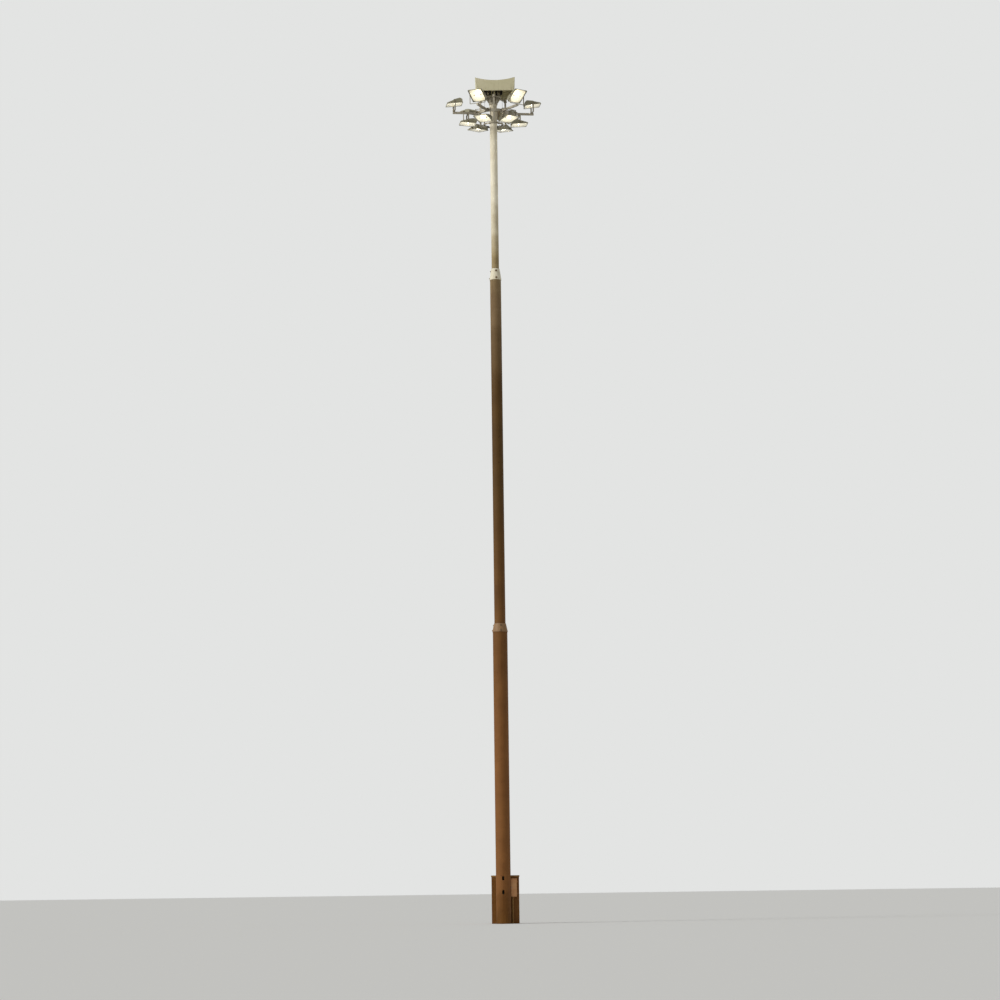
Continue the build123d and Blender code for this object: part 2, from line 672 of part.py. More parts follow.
with BuildPart() as housing_shape:
    with BuildSketch(Plane.XZ.offset(-BODY_W / 2)):
        add(wedge(0))
    extrude(amount=BODY_W)
    with BuildSketch(Plane.XZ.offset(-BODY_W / 2 + FLOOD_WALL)):
        add(wedge(FLOOD_WALL))
        with Locations((0, FLOOD_FOOT + 5)):
            Rectangle(FLOOD_L - 2 * (FRAME_IN + FLOOD_WALL), 12)
    extrude(amount=BODY_W - 2 * FLOOD_WALL, mode=Mode.SUBTRACT)
    with BuildSketch(Plane.XY.offset(FLOOD_FOOT)):
        RectangleRounded(FLOOD_L, FLOOD_W, 20)
        Rectangle(FLOOD_L - 2 * (FRAME_IN + FLOOD_WALL), BODY_W - 2 * FLOOD_WALL, mode=Mode.SUBTRACT)
    extrude(amount=FRAME_H)
    with BuildSketch(Plane.XY.offset(FLOOD_FOOT)):
        RectangleRounded(FLOOD_L - 24, FLOOD_W - 24, 12)
    extrude(amount=SEAT, mode=Mode.SUBTRACT)
    for index in range(FIN_COUNT):
        y = (index - (FIN_COUNT - 1) / 2) * (BODY_W - 60) / (FIN_COUNT - 1)
        with BuildSketch(Plane.XZ.offset(-y - FIN_T / 2)):
            with BuildLine():
                Polyline(
                    (-FLOOD_L / 2 + 40, HUMP * 0.7),
                    (-FLOOD_L / 2 + 48, HUMP * 0.86 + FIN_H),
                    (-FLOOD_L / 3, HUMP + FIN_H),
                    (20, HUMP * 0.64 + FIN_H),
                    (70, HUMP * 0.46),
                    close=True,
                )
            make_face()
            with BuildLine():
                Polyline(
                    (-FLOOD_L / 2 + 8, HUMP * 0.7 - 2),
                    (-FLOOD_L / 3, HUMP - 2),
                    (60, HUMP * 0.52 - 2),
                    (FLOOD_L / 2 - 8, FLOOD_FOOT + 42),
                    (-FLOOD_L / 2 + 8, FLOOD_FOOT),
                    close=True,
                )
            make_face(mode=Mode.SUBTRACT)
        extrude(amount=FIN_T)
    for way in (-1, 1):
        side = Plane(origin=(0, way * (BODY_W / 2 - 2), 0), x_dir=(1, 0, 0), z_dir=(0, way, 0))
        with BuildSketch(side):
            Circle(26)
        extrude(amount=LEG_IN - 2 - BODY_W / 2 + 2)
        with BuildSketch(side):
            Circle(TRUNNION_DIA / 2)
        extrude(amount=LEG_IN + STIRRUP_T + 14 - BODY_W / 2 + 2)

with BuildPart() as glass_shape:
    with BuildSketch(Plane.XY.offset(GLASS_FOOT)):
        RectangleRounded(FLOOD_L - 26, FLOOD_W - 26, 11)
    extrude(amount=GLASS_T)

# stirrup about the same pivot, its base straight below
with BuildPart() as stirrup_shape:
    with BuildSketch(Plane.XY.offset(-STIRRUP_H)):
        Rectangle(STIRRUP_W, 2 * (LEG_IN + STIRRUP_T))
    extrude(amount=STIRRUP_T)
    for way in (-1, 1):
        leg = Plane(origin=(0, way * LEG_IN, 0), x_dir=(1, 0, 0), z_dir=(0, way, 0))
        with BuildSketch(leg) as leg_face:
            with Locations((0, way * (STIRRUP_H - STIRRUP_W / 2) / 2)):
                Rectangle(STIRRUP_W, STIRRUP_H + STIRRUP_W / 2)
            chamfer(leg_face.vertices().sort_by(Axis.Z)[-2:], STIRRUP_W / 4)
            Circle(TRUNNION_DIA / 2 + FIT, mode=Mode.SUBTRACT)
        extrude(amount=STIRRUP_T)


def stand(angle, radius, z, tilt=0.0, hang=False):
    """Where a floodlight or stirrup stands: its pivot, its heading and its tilt."""
    place = Location((radius * cos(radians(angle)), radius * sin(radians(angle)), z), (0, 0, angle))
    if hang:
        place = place * Location((0, 0, 0), (180, 0, 0))
    return place * Location((0, 0, 0), (0, -tilt, 0))


ARM_ANGLES = [ARM_START + step * 360 / ARM_COUNT for step in range(ARM_COUNT)]
UPPER_Z = CROWN_Z + ARM_H / 2 + STIRRUP_H
LOWER_Z = CROWN_Z - ARM_H / 2 - STIRRUP_H

with BuildPart() as upper_stirrups:
    for angle in ARM_ANGLES:
        with Locations(stand(angle, UPPER_R, UPPER_Z)):
            add(stirrup_shape.part)
save(upper_stirrups.part, "upper_stirrups")

with BuildPart() as lower_stirrups:
    for angle in ARM_ANGLES:
        with Locations(stand(angle, LOWER_R, LOWER_Z, hang=True)):
            add(stirrup_shape.part)
save(lower_stirrups.part, "lower_stirrups")

for number, angle in enumerate(ARM_ANGLES, start=1):
    for tier, radius, z, tilts in (
        ("upper", UPPER_R, UPPER_Z, UPPER_TILTS),
        ("lower", LOWER_R, LOWER_Z, LOWER_TILTS),
    ):
        place = stand(angle, radius, z, tilts[number - 1])
        with BuildPart() as flood_housing:
            with Locations(place):
                add(housing_shape.part)
        save(flood_housing.part, f"flood_{tier}_{number}")
        with BuildPart() as flood_glass:
            with Locations(place):
                add(glass_shape.part)
        save(flood_glass.part, f"glass_{tier}_{number}")

# cabinet of sheet behind the foot of the mast
CABINET_W = CABINET_X1 - CABINET_X0
CABINET_CX = (CABINET_X0 + CABINET_X1) / 2
CABINET_CY = CABINET_Y0 + CABINET_D / 2
with BuildPart() as winch_cabinet:
    with BuildSketch():
        with Locations((CABINET_CX, CABINET_CY)):
            Rectangle(CABINET_W, CABINET_D)
        with Locations((CABINET_CX, CABINET_CY + CABINET_SHEET)):
            Rectangle(CABINET_W - 2 * CABINET_SHEET, CABINET_D, mode=Mode.SUBTRACT)
        for way, edge in ((1, CABINET_X0), (-1, CABINET_X1)):
            with Locations((edge + way * CABINET_FLANGE / 2, CABINET_Y0 + CABINET_D - CABINET_SHEET / 2)):
                Rectangle(CABINET_FLANGE, CABINET_SHEET)
            with Locations((edge + way * CABINET_FLANGE / 2, CABINET_Y0 - CABINET_SHEET / 2)):
                Rectangle(CABINET_FLANGE, CABINET_SHEET)
    extrude(amount=CABINET_H)
save(winch_cabinet.part, "winch_cabinet")

# plain cover screwed over the open back of the cabinet
with BuildPart() as cabinet_cover:
    back = CABINET_Y0 + CABINET_D
    with BuildSketch(Plane.XY.offset(30)):
        with Locations((CABINET_CX, back + 10)):
            Rectangle(CABINET_W - 30, 20)
        with Locations((CABINET_CX, back + 10 - CABINET_SHEET)):
            Rectangle(CABINET_W - 30 - 2 * CABINET_SHEET, 20, mode=Mode.SUBTRACT)
    extrude(amount=CABINET_H - 60)
    with BuildSketch(Plane.XY.offset(30)):
        with Locations((CABINET_CX, back + 10)):
            Rectangle(CABINET_W - 30, 20)
    extrude(amount=CABINET_SHEET)
    with BuildSketch(Plane.XY.offset(CABINET_H - 30 - CABINET_SHEET)):
        with Locations((CABINET_CX, back + 10)):
            Rectangle(CABINET_W - 30, 20)
    extrude(amount=CABINET_SHEET)
save(cabinet_cover.part, "cabinet_cover")

with BuildPart() as cabinet_cap:
    with BuildSketch(Plane.XY.offset(CABINET_H)):
        with Locations((CABINET_CX, CABINET_CY)):
            Rectangle(CABINET_W + 2 * CAP_OVER, CABINET_D + 2 * CAP_OVER + 2 * CABINET_SHEET)
    extrude(amount=CAP_H)
    with BuildSketch(Plane.XY.offset(CABINET_H)):
        with Locations((CABINET_CX, CABINET_CY)):
            Rectangle(CABINET_W - 20, CABINET_D - 20)
    extrude(amount=CAP_H - CABINET_SHEET, mode=Mode.SUBTRACT)
save(cabinet_cap.part, "cabinet_cap")

# straps that tie the cabinet to the mast
with BuildPart() as cabinet_brackets:
    arc_foot = CABINET_Y0 - BRACKET_D - BRACKET_T
    for level in (BRACKET_FOOT, CABINET_H - BRACKET_DROP):
        with BuildSketch(Plane.XY.offset(level)):
            with Locations((0, CABINET_Y0 - BRACKET_D / 2)):
                Rectangle(BRACKET_W, BRACKET_D)
            with Locations((0, CABINET_Y0 - BRACKET_D / 2 - BRACKET_T)):
                Rectangle(BRACKET_W - 2 * BRACKET_T, BRACKET_D, mode=Mode.SUBTRACT)
            Circle(LOWER_DIA / 2 + BRACKET_T)
            with Locations((0, arc_foot / 2 - LOWER_DIA)):
                Rectangle(2 * LOWER_DIA, arc_foot + 2 * LOWER_DIA, mode=Mode.SUBTRACT)
            Circle(LOWER_DIA / 2, mode=Mode.SUBTRACT)
            with Locations((0, CABINET_Y0 - BRACKET_T / 2)):
                Rectangle(BRACKET_W, BRACKET_T)
        extrude(amount=BRACKET_H)
save(cabinet_brackets.part, "cabinet_brackets")

# switch box on the cabinet's front, with its hinged door
BOX_CX = BOX_X0 + BOX_W / 2
BOX_Y0 = CABINET_Y0 - BOX_D
HINGE_X = BOX_X0 + BOX_W + HINGE_R
HINGE_Y = BOX_Y0 - DOOR_GAP
DOOR_H = BOX_H - 6
HINGE_LEVELS = (BOX_Z0 + 120.0, BOX_Z0 + BOX_H - 120.0)
with BuildPart() as switch_box:
    with BuildSketch(Plane.XY.offset(BOX_Z0)):
        with Locations((BOX_CX, CABINET_Y0 - BOX_D / 2)):
            Rectangle(BOX_W, BOX_D)
    extrude(amount=BOX_H)
    with BuildSketch(Plane.XY.offset(BOX_Z0 + BOX_SHEET)):
        with Locations((BOX_CX, CABINET_Y0 - BOX_D / 2 - BOX_SHEET)):
            Rectangle(BOX_W - 2 * BOX_SHEET, BOX_D)
    extrude(amount=BOX_H - 2 * BOX_SHEET, mode=Mode.SUBTRACT)
    with BuildSketch(Plane.XY.offset(BOX_Z0 + BOX_H)):
        with Locations((BOX_CX, CABINET_Y0 - (BOX_D + RAIN_LIP) / 2)):
            Rectangle(BOX_W + 20, BOX_D + RAIN_LIP)
    extrude(amount=BOX_SHEET)
    for level in HINGE_LEVELS:
        for foot, tall in ((level - HINGE_H / 2, HINGE_H / 3), (level + HINGE_H / 6, HINGE_H / 3)):
            with BuildSketch(Plane.XY.offset(foot)):
                with Locations((HINGE_X, HINGE_Y)):
                    Circle(HINGE_R)
                with Locations((HINGE_X - HINGE_R + 2, HINGE_Y + 18)):
                    Rectangle(4, 36)
            extrude(amount=tall)
        with BuildSketch(Plane.XY.offset(level - HINGE_H / 2)):
            with Locations((HINGE_X, HINGE_Y)):
                Circle(HINGE_PIN)
        extrude(amount=HINGE_H)
save(switch_box.part, "switch_box")

with BuildPart() as switch_box_door:
    door_y = BOX_Y0 - DOOR_GAP - DOOR_T / 2
    with BuildSketch(Plane.XY.offset(BOX_Z0)):
        with Locations((BOX_CX, door_y)):
            Rectangle(BOX_W, DOOR_T)
    extrude(amount=DOOR_H)
    with BuildSketch(Plane.XY.offset(BOX_Z0 + BOX_SHEET)):
        with Locations((BOX_CX, door_y + BOX_SHEET)):
            Rectangle(BOX_W - 2 * BOX_SHEET, DOOR_T)
    extrude(amount=DOOR_H - 2 * BOX_SHEET, mode=Mode.SUBTRACT)
    for level in HINGE_LEVELS:
        with BuildSketch(Plane.XY.offset(level - HINGE_H / 6 + 1)):
            with Locations((HINGE_X, HINGE_Y)):
                Circle(HINGE_R)
            with Locations((HINGE_X - HINGE_R / 2 - 1, HINGE_Y - HINGE_R / 2)):
                Rectangle(HINGE_R + 2, HINGE_R)
            with Locations((HINGE_X, HINGE_Y)):
                Circle(HINGE_PIN + 0.3, mode=Mode.SUBTRACT)
        extrude(amount=HINGE_H / 3 - 2)
save(switch_box_door.part, "switch_box_door")

# conduit from the ground up into the switch box, with the clips that hold it
CONDUIT_SPOT = (BOX_X0 + CONDUIT_IN, CABINET_Y0 - CONDUIT_OFF)
with BuildPart() as conduit:
    with BuildSketch():
        with Locations(CONDUIT_SPOT):
            Circle(CONDUIT_DIA / 2)
            Circle(CONDUIT_DIA / 2 - 3, mode=Mode.SUBTRACT)
    extrude(amount=BOX_Z0)
save(conduit.part, "conduit")

with BuildPart() as conduit_clips:
    for level in CLIP_LEVELS:
        with BuildSketch(Plane.XY.offset(level)):
            with Locations((CONDUIT_SPOT[0], CABINET_Y0 - CONDUIT_OFF / 2)):
                Rectangle(22, CONDUIT_OFF)
            with Locations(CONDUIT_SPOT):
                Circle(CONDUIT_DIA / 2 + 4)
                Circle(CONDUIT_DIA / 2, mode=Mode.SUBTRACT)
            with Locations((CONDUIT_SPOT[0], CABINET_Y0 - 2)):
                Rectangle(70, 4)
        extrude(amount=25)
save(conduit_clips.part, "conduit_clips")
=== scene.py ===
"""High mast floodlight tower: the finished look over the CAD frame."""

import json
import math

import bmesh
import bpy
from bpy.props import FloatProperty, FloatVectorProperty, IntProperty, PointerProperty
from bpy.types import Operator, Panel, PropertyGroup
from mathutils import Matrix, Vector


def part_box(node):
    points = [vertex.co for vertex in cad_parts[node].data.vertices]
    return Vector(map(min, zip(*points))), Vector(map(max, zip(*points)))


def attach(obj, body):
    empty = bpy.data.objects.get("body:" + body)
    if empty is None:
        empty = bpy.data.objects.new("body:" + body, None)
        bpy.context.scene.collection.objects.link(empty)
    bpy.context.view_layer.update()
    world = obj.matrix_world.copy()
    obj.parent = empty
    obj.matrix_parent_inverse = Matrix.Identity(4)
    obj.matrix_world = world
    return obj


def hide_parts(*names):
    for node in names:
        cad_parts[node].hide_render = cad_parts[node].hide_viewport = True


bl_info = {
    "name": "High mast floodlight tower",
    "version": (1, 0, 0),
    "blender": (4, 5, 0),
    "location": "3D View > Sidebar > Mast",
    "description": "Dresses a stepped lighting mast with its crown of floodlights",
    "category": "Object",
}

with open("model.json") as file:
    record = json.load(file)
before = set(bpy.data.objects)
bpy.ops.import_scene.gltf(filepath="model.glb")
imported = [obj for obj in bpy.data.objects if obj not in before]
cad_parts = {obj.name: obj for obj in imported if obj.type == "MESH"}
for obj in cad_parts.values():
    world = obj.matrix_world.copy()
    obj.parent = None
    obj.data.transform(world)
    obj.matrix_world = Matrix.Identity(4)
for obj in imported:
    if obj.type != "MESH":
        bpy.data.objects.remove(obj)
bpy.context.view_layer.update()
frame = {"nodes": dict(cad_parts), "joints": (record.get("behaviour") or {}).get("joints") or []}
NODES = frame["nodes"]
JOINTS = {joint["name"]: joint for joint in frame["joints"]}

# Sizes of the solids in metres, and their angles in degrees.
LOWER_R = 0.2665
MIDDLE_R = 0.2032
TOP_R = 0.1365
COLLAR_FOOT_WALL = 0.015
COLLAR_TOP_WALL = 0.016
COLLAR_RIM = 0.025
HEAD_PLATE_T = 0.020
DOCK_ARM_T = 0.012
POST_FOOT_T = 0.010
HOOD_POST_R = 0.235
HOOD_FOOT_HALF = 0.675
PULLEY_R = 0.240
PULLEY_CHEEK = 0.029
ROPE_R = 0.005
ROPE_FALL_R = 0.380
ROPE_ANGLES = (93.0, 213.0, 333.0)
POST_ANGLES = (33.0, 153.0, 273.0)
RING_OUT = 0.580
ARM_HALF = 0.040
ARM_COUNT = 6
ARM_ANGLES = [7.0 + step * 360.0 / ARM_COUNT for step in range(ARM_COUNT)]
JUNCTION_FRONT = 0.585
LEG_IN = 0.300
STIRRUP_T = 0.008
STIRRUP_H = 0.330
FLOOD_HALF_L = 0.300
FLOOD_HALF_W = 0.280
FLOOD_FOOT = -0.060
LAMP_X = -0.020
CONDUIT_X = 0.333
CONDUIT_Y = 0.230
CONDUIT_R = 0.025
BOX_BACK = 0.287
BOX_MIDDLE = 0.380
BOX_SHEET = 0.003

QUARTER_ABOUT_X = Matrix.Rotation(math.radians(90), 4, "X")

# Each tier of floodlights: its name, the way up of its stirrups and its tilts at rest.
TIERS = (
    ("upper", 1, (8.0, 20.0, 20.0, -6.0, 32.0, 38.0)),
    ("lower", -1, (4.0, 6.0, 6.0, 4.0, 10.0, 10.0)),
)

# Places of the sockets of a Mix node that mixes colours: its share, its two colours and its result.
MIX_SHARE = 0
MIX_A = 6
MIX_B = 7
MIXED = 2

# What all colours that a user may change have in common.
COLOUR = {"subtype": "COLOR", "size": 4, "min": 0.0, "max": 1.0}


def linear(code):
    """An sRGB hex colour as linear red, green, blue and alpha."""
    parts = [int(code[i : i + 2], 16) / 255 for i in (1, 3, 5)]
    out = [c / 12.92 if c <= 0.04045 else ((c + 0.055) / 1.055) ** 2.4 for c in parts]
    return (*out, 1.0)


def feed(tree, node, links):
    """Links sockets, or the first outputs of nodes, to a node's inputs by name or place."""
    for key, source in links.items():
        socket = source.outputs[0] if isinstance(source, bpy.types.Node) else source
        tree.links.new(socket, node.inputs[key])


def add_node(tree, kind, settings=None, links=None):
    """Adds a node: settings are attributes, inputs by name or place, or colour stops; links are for feed."""
    node = tree.nodes.new(kind)
    for key, value in (settings or {}).items():
        if key == "stops":
            band = node.color_ramp
            while len(band.elements) < len(value):
                band.elements.new(0.5)
            for element, (place, colour) in zip(band.elements, value):
                element.position = place
                element.color = colour
        elif isinstance(key, int) or (key[0].isupper() and key in node.inputs):
            node.inputs[key].default_value = value
        else:
            setattr(node, key, value)
    feed(tree, node, links or {})
    return node


def start_finish(name, colour, metallic, roughness):
    """A new material; gives it with its tree, its shader and its object coordinates."""
    finish = bpy.data.materials.new(name)
    finish.use_nodes = True
    finish.diffuse_color = colour
    tree = finish.node_tree
    shader = tree.nodes["Principled BSDF"]
    shader.inputs["Base Color"].default_value = colour
    shader.inputs["Metallic"].default_value = metallic
    shader.inputs["Roughness"].default_value = roughness
    coords = add_node(tree, "ShaderNodeTexCoord")
    return finish, tree, shader, coords.outputs["Object"]


def weathered(name, base, faded, grime, rust, **extra):
    """A coat of paint or zinc that years outdoors have faded, streaked and let rust through.

    base, faded, grime and rust are colours. extra may give patch, streak and grain sizes in metres,
    metallic, roughness and specular, runs and rusty (shares of dirty runs and of rust, 0 to 1), worn (colour
    of worn edges) and edge (their width in metres), lift (grain height in metres) and climb, pairs of a
    height and the coat's colour there, which the other colours then tone. The real marks of brush, roller
    and spray are 1 to 3 mm wide and wouldn't show, so grain is 4 to 14 mm here."""
    patch = extra.get("patch", 0.8)
    streak = extra.get("streak", 0.05)
    grain = extra.get("grain", 0.012)
    rough = extra.get("roughness", 0.55)
    finish, tree, shader, coords = start_finish(name, base, extra.get("metallic", 0.0), rough)
    shader.inputs["Specular IOR Level"].default_value = extra.get("specular", 0.4)
    patches = add_node(
        tree,
        "ShaderNodeTexNoise",
        {"Scale": 1 / patch, "Detail": 5.0, "Roughness": 0.6},
        {"Vector": coords},
    )
    grains = add_node(
        tree,
        "ShaderNodeTexNoise",
        {"Scale": 1 / grain, "Detail": 6.0, "Roughness": 0.65},
        {"Vector": coords},
    )
    # The coat fades in patches with speckled edges.
    speckled = add_node(
        tree, "ShaderNodeMath", {"operation": "MULTIPLY_ADD", 1: 0.4}, {0: grains, 2: patches}
    )
    fading = add_node(tree, "ShaderNodeMapRange", {"From Min": 0.54, "From Max": 0.88}, {"Value": speckled})
    coat = add_node(
        tree, "ShaderNodeMix", {"data_type": "RGBA", MIX_A: base, MIX_B: faded}, {MIX_SHARE: fading}
    )
    # Rain runs are soft and few: fine detail in them would look like the grain of wood.
    drawn = add_node(
        tree, "ShaderNodeMapping", {"Scale": (1 / streak, 1 / streak, 0.025 / streak)}, {"Vector": coords}
    )
    runs = add_node(
        tree, "ShaderNodeTexNoise", {"Scale": 1.0, "Detail": 1.0, "Roughness": 0.35}, {"Vector": drawn}
    )
    running = add_node(
        tree,
        "ShaderNodeMapRange",
        {"From Min": 0.54, "From Max": 0.80, "To Max": extra.get("runs", 0.55)},
        {"Value": runs},
    )
    # They keep to the patches that haven't faded.
    sheltered = add_node(
        tree, "ShaderNodeMapRange", {"From Min": 0.64, "From Max": 0.34}, {"Value": patches}
    )
    dirt = add_node(tree, "ShaderNodeMath", {"operation": "MULTIPLY"}, {0: running, 1: sheltered})
    coat = add_node(
        tree,
        "ShaderNodeMix",
        {"data_type": "RGBA", MIX_B: grime},
        {MIX_SHARE: dirt, MIX_A: coat.outputs[MIXED]},
    )
    # Rust blooms on the peaks of a noise, and the rustier the coat, the lower on them it starts.
    rust_line = 0.74 - 0.16 * extra.get("rusty", 0.3)
    spots = add_node(
        tree, "ShaderNodeTexNoise", {"Scale": 9.0, "Detail": 9.0, "Roughness": 0.7}, {"Vector": coords}
    )
    rusting = add_node(
        tree,
        "ShaderNodeMapRange",
        {"From Min": rust_line, "From Max": rust_line + 0.05, "To Max": 0.85},
        {"Value": spots},
    )
    coat = add_node(
        tree,
        "ShaderNodeMix",
        {"data_type": "RGBA", MIX_B: rust},
        {MIX_SHARE: rusting, MIX_A: coat.outputs[MIXED]},
    )
    if extra.get("worn"):
        # An edge is where the rounded normal leaves the flat one.
        rounded = add_node(tree, "ShaderNodeBevel", {"samples": 4, "Radius": extra.get("edge", 0.006)})
        flat = add_node(tree, "ShaderNodeNewGeometry")
        turn = add_node(
            tree,
            "ShaderNodeVectorMath",
            {"operation": "DOT_PRODUCT"},
            {0: rounded.outputs["Normal"], 1: flat.outputs["Normal"]},
        )
        ragged = add_node(
            tree,
            "ShaderNodeMath",
            {"operation": "MULTIPLY_ADD", 1: 0.10},
            {0: grains, 2: turn.outputs["Value"]},
        )
        wearing = add_node(
            tree,
            "ShaderNodeMapRange",
            {"From Min": 1.03, "From Max": 0.97, "To Max": 0.75},
            {"Value": ragged},
        )
        coat = add_node(
            tree,
            "ShaderNodeMix",
            {"data_type": "RGBA", MIX_B: extra["worn"]},
            {MIX_SHARE: wearing, MIX_A: coat.outputs[MIXED]},
        )
    if extra.get("climb"):
        # The heights wander by the patches, so that one colour gives way to the next unevenly.
        top = extra["climb"][-1][0]
        sway = 1.2
        height = add_node(tree, "ShaderNodeSeparateXYZ", {}, {"Vector": coords})
        wander = add_node(
            tree,
            "ShaderNodeMath",
            {"operation": "MULTIPLY_ADD", 1: sway},
            {0: patches, 2: height.outputs["Z"]},
        )
        share = add_node(
            tree,
            "ShaderNodeMapRange",
            {"From Min": sway / 2, "From Max": top + sway / 2},
            {"Value": wander},
        )
        climb = add_node(
            tree,
            "ShaderNodeValToRGB",
            {"stops": [(place / top, colour) for place, colour in extra["climb"]]},
            {"Fac": share},
        )
        coat = add_node(
            tree,
            "ShaderNodeMix",
            {"data_type": "RGBA", "blend_type": "MULTIPLY", MIX_SHARE: 1.0},
            {MIX_A: climb, MIX_B: coat.outputs[MIXED]},
        )
    gloss = add_node(
        tree,
        "ShaderNodeMapRange",
        {"From Min": 0.3, "From Max": 0.7, "To Min": rough - 0.08, "To Max": rough + 0.14},
        {"Value": grains},
    )
    relief = add_node(
        tree, "ShaderNodeBump", {"Strength": 0.5, "Distance": extra.get("lift", 0.0008)}, {"Height": grains}
    )
    feed(tree, shader, {"Base Color": coat.outputs[MIXED], "Roughness": gloss, "Normal": relief})
    return finish


def alkyd_tube(paint):
    """Alkyd paint rolled over mill steel: matt brown, dirty at the foot, and lightened to cream at the head
    by painted lamp light, where the lamps shine on it, with roller marks, rain runs and a few rust blooms."""
    # The last three stops lighten the brown to cream towards the head: painted lamp light from the
    # floodlights, not the paint's own colour.
    climb = (
        (0.0, paint.foot),
        (1.3, paint.lower),
        (6.5, paint.lower),
        (16.0, paint.middle),
        (19.5, paint.middle),
        (22.9, paint.upper),
        (24.6, paint.faded),
        (26.6, paint.painted_lamp_light),
        (30.6, paint.painted_lamp_light),
    )
    return weathered(
        "alkyd_paint_on_steel_tube",
        linear("#E4E0D8"),
        linear("#FFFFFF"),
        linear("#B09E86"),
        linear("#94562C"),
        climb=climb,
        patch=0.7,
        streak=0.080,
        grain=0.010,
        roughness=0.60,
        specular=0.16,
        runs=0.5,
        rusty=0.65,
        lift=0.0008,
    )


def cream_enamel(paint):
    """Brushed cream enamel on the cone collars: chalky, browned on the lower collar by the dust of the yard,
    with rust weeping from bolts and edges."""
    climb = (
        (0.0, paint.lower_collar),
        (12.0, paint.lower_collar),
        (22.5, paint.upper_collar),
        (30.6, paint.upper_collar),
    )
    return weathered(
        "cream_brushed_enamel",
        linear("#F2EFE8"),
        linear("#FFFFFF"),
        linear("#C6B394"),
        linear("#9A6A40"),
        climb=climb,
        patch=0.25,
        streak=0.045,
        grain=0.008,
        roughness=0.55,
        specular=0.25,
        rusty=0.45,
        worn=linear("#A8906E"),
        lift=0.0005,
    )


def dulled_zinc():
    """Hot-dip galvanised steel: spangled grey crystals, dulled by white rust and by smoke at the head."""
    base = linear("#B5AE9C")
    finish, tree, shader, coords = start_finish("hot_dip_galvanised_steel", base, 0.35, 0.5)
    # Zinc crystals are about 12 mm across.
    spangle = add_node(tree, "ShaderNodeTexVoronoi", {"Scale": 85.0}, {"Vector": coords})
    soot = add_node(
        tree, "ShaderNodeTexNoise", {"Scale": 3.0, "Detail": 8.0, "Roughness": 0.65}, {"Vector": coords}
    )
    crystal = add_node(
        tree,
        "ShaderNodeValToRGB",
        {"stops": ((0.0, linear("#A39B88")), (0.5, linear("#B5AE9C")), (1.0, linear("#C8C2B2")))},
        {"Fac": spangle.outputs["Color"]},
    )
    sooting = add_node(
        tree, "ShaderNodeMapRange", {"From Min": 0.40, "From Max": 0.66, "To Max": 0.8}, {"Value": soot}
    )
    colour = add_node(
        tree,
        "ShaderNodeMix",
        {"data_type": "RGBA", MIX_B: linear("#857A64")},
        {MIX_SHARE: sooting, MIX_A: crystal},
    )
    gloss = add_node(tree, "ShaderNodeMapRange", {"To Min": 0.36, "To Max": 0.66}, {"Value": soot})
    relief = add_node(tree, "ShaderNodeBump", {"Strength": 0.25, "Distance": 0.0006}, {"Height": soot})
    feed(tree, shader, {"Base Color": colour.outputs[MIXED], "Roughness": gloss, "Normal": relief})
    return finish


def hood_coating(base):
    """Khaki alkyd paint on folded sheet: dull and dusty, sooted from below, rusting at its folds."""
    return weathered(
        "khaki_alkyd_on_folded_sheet",
        base,
        linear("#DAD3B2"),
        linear("#A0976F"),
        linear("#7A5230"),
        patch=0.5,
        streak=0.06,
        grain=0.014,
        roughness=0.62,
        rusty=0.25,
        worn=linear("#8A7450"),
        lift=0.0007,
    )


def cast_alloy(base):
    """Die-cast aluminium with grey powder coat: even orange peel, soot in the ribs, bare at the edges."""
    return weathered(
        "grey_powder_coated_casting",
        base,
        linear("#9B967E"),
        linear("#6A6550"),
        linear("#6E624A"),
        patch=0.12,
        streak=0.02,
        grain=0.004,
        roughness=0.5,
        rusty=0.0,
        worn=linear("#B2B0A6"),
        edge=0.003,
        lift=0.0003,
    )


def cabinet_paint(name, base, faded):
    """Gloss alkyd on folded sheet, gone flat: brown, streaked below the cap and rubbed at the corners."""
    return weathered(
        name,
        base,
        faded,
        linear("#553A18"),
        linear("#7E441C"),
        patch=0.30,
        streak=0.070,
        grain=0.009,
        roughness=0.5,
        specular=0.2,
        rusty=0.5,
        worn=linear("#A07A4E"),
        lift=0.0005,
    )


def box_coat(base):
    """Beige polyester powder coat on sheet: fine orange peel, chalked and stained from the seams down."""
    return weathered(
        "beige_powder_coated_sheet",
        base,
        linear("#D2A06E"),
        linear("#94683F"),
        linear("#7E441C"),
        patch=0.16,
        streak=0.045,
        grain=0.005,
        roughness=0.45,
        specular=0.3,
        rusty=0.35,
        worn=linear("#D8B48C"),
        edge=0.004,
        lift=0.0003,
    )


def plain_metal(name, base, dark, roughness, metallic, grain):
    """Bare metal that has been handled: mottled between base and dark, its gloss broken by the grain.

    Its real grain is finer than a millimetre and wouldn't show, so grain is some 4 to 15 mm here."""
    finish, tree, shader, coords = start_finish(name, base, metallic, roughness)
    mottle = add_node(
        tree,
        "ShaderNodeTexNoise",
        {"Scale": 1 / grain, "Detail": 8.0, "Roughness": 0.62},
        {"Vector": coords},
    )
    tone = add_node(tree, "ShaderNodeValToRGB", {"stops": ((0.32, dark), (0.62, base))}, {"Fac": mottle})
    gloss = add_node(
        tree,
        "ShaderNodeMapRange",
        {"From Min": 0.3, "From Max": 0.7, "To Min": roughness + 0.12, "To Max": roughness - 0.08},
        {"Value": mottle},
    )
    relief = add_node(
        tree, "ShaderNodeBump", {"Strength": 0.3, "Distance": grain * 0.03}, {"Height": mottle}
    )
    feed(tree, shader, {"Base Color": tone, "Roughness": gloss, "Normal": relief})
    return finish


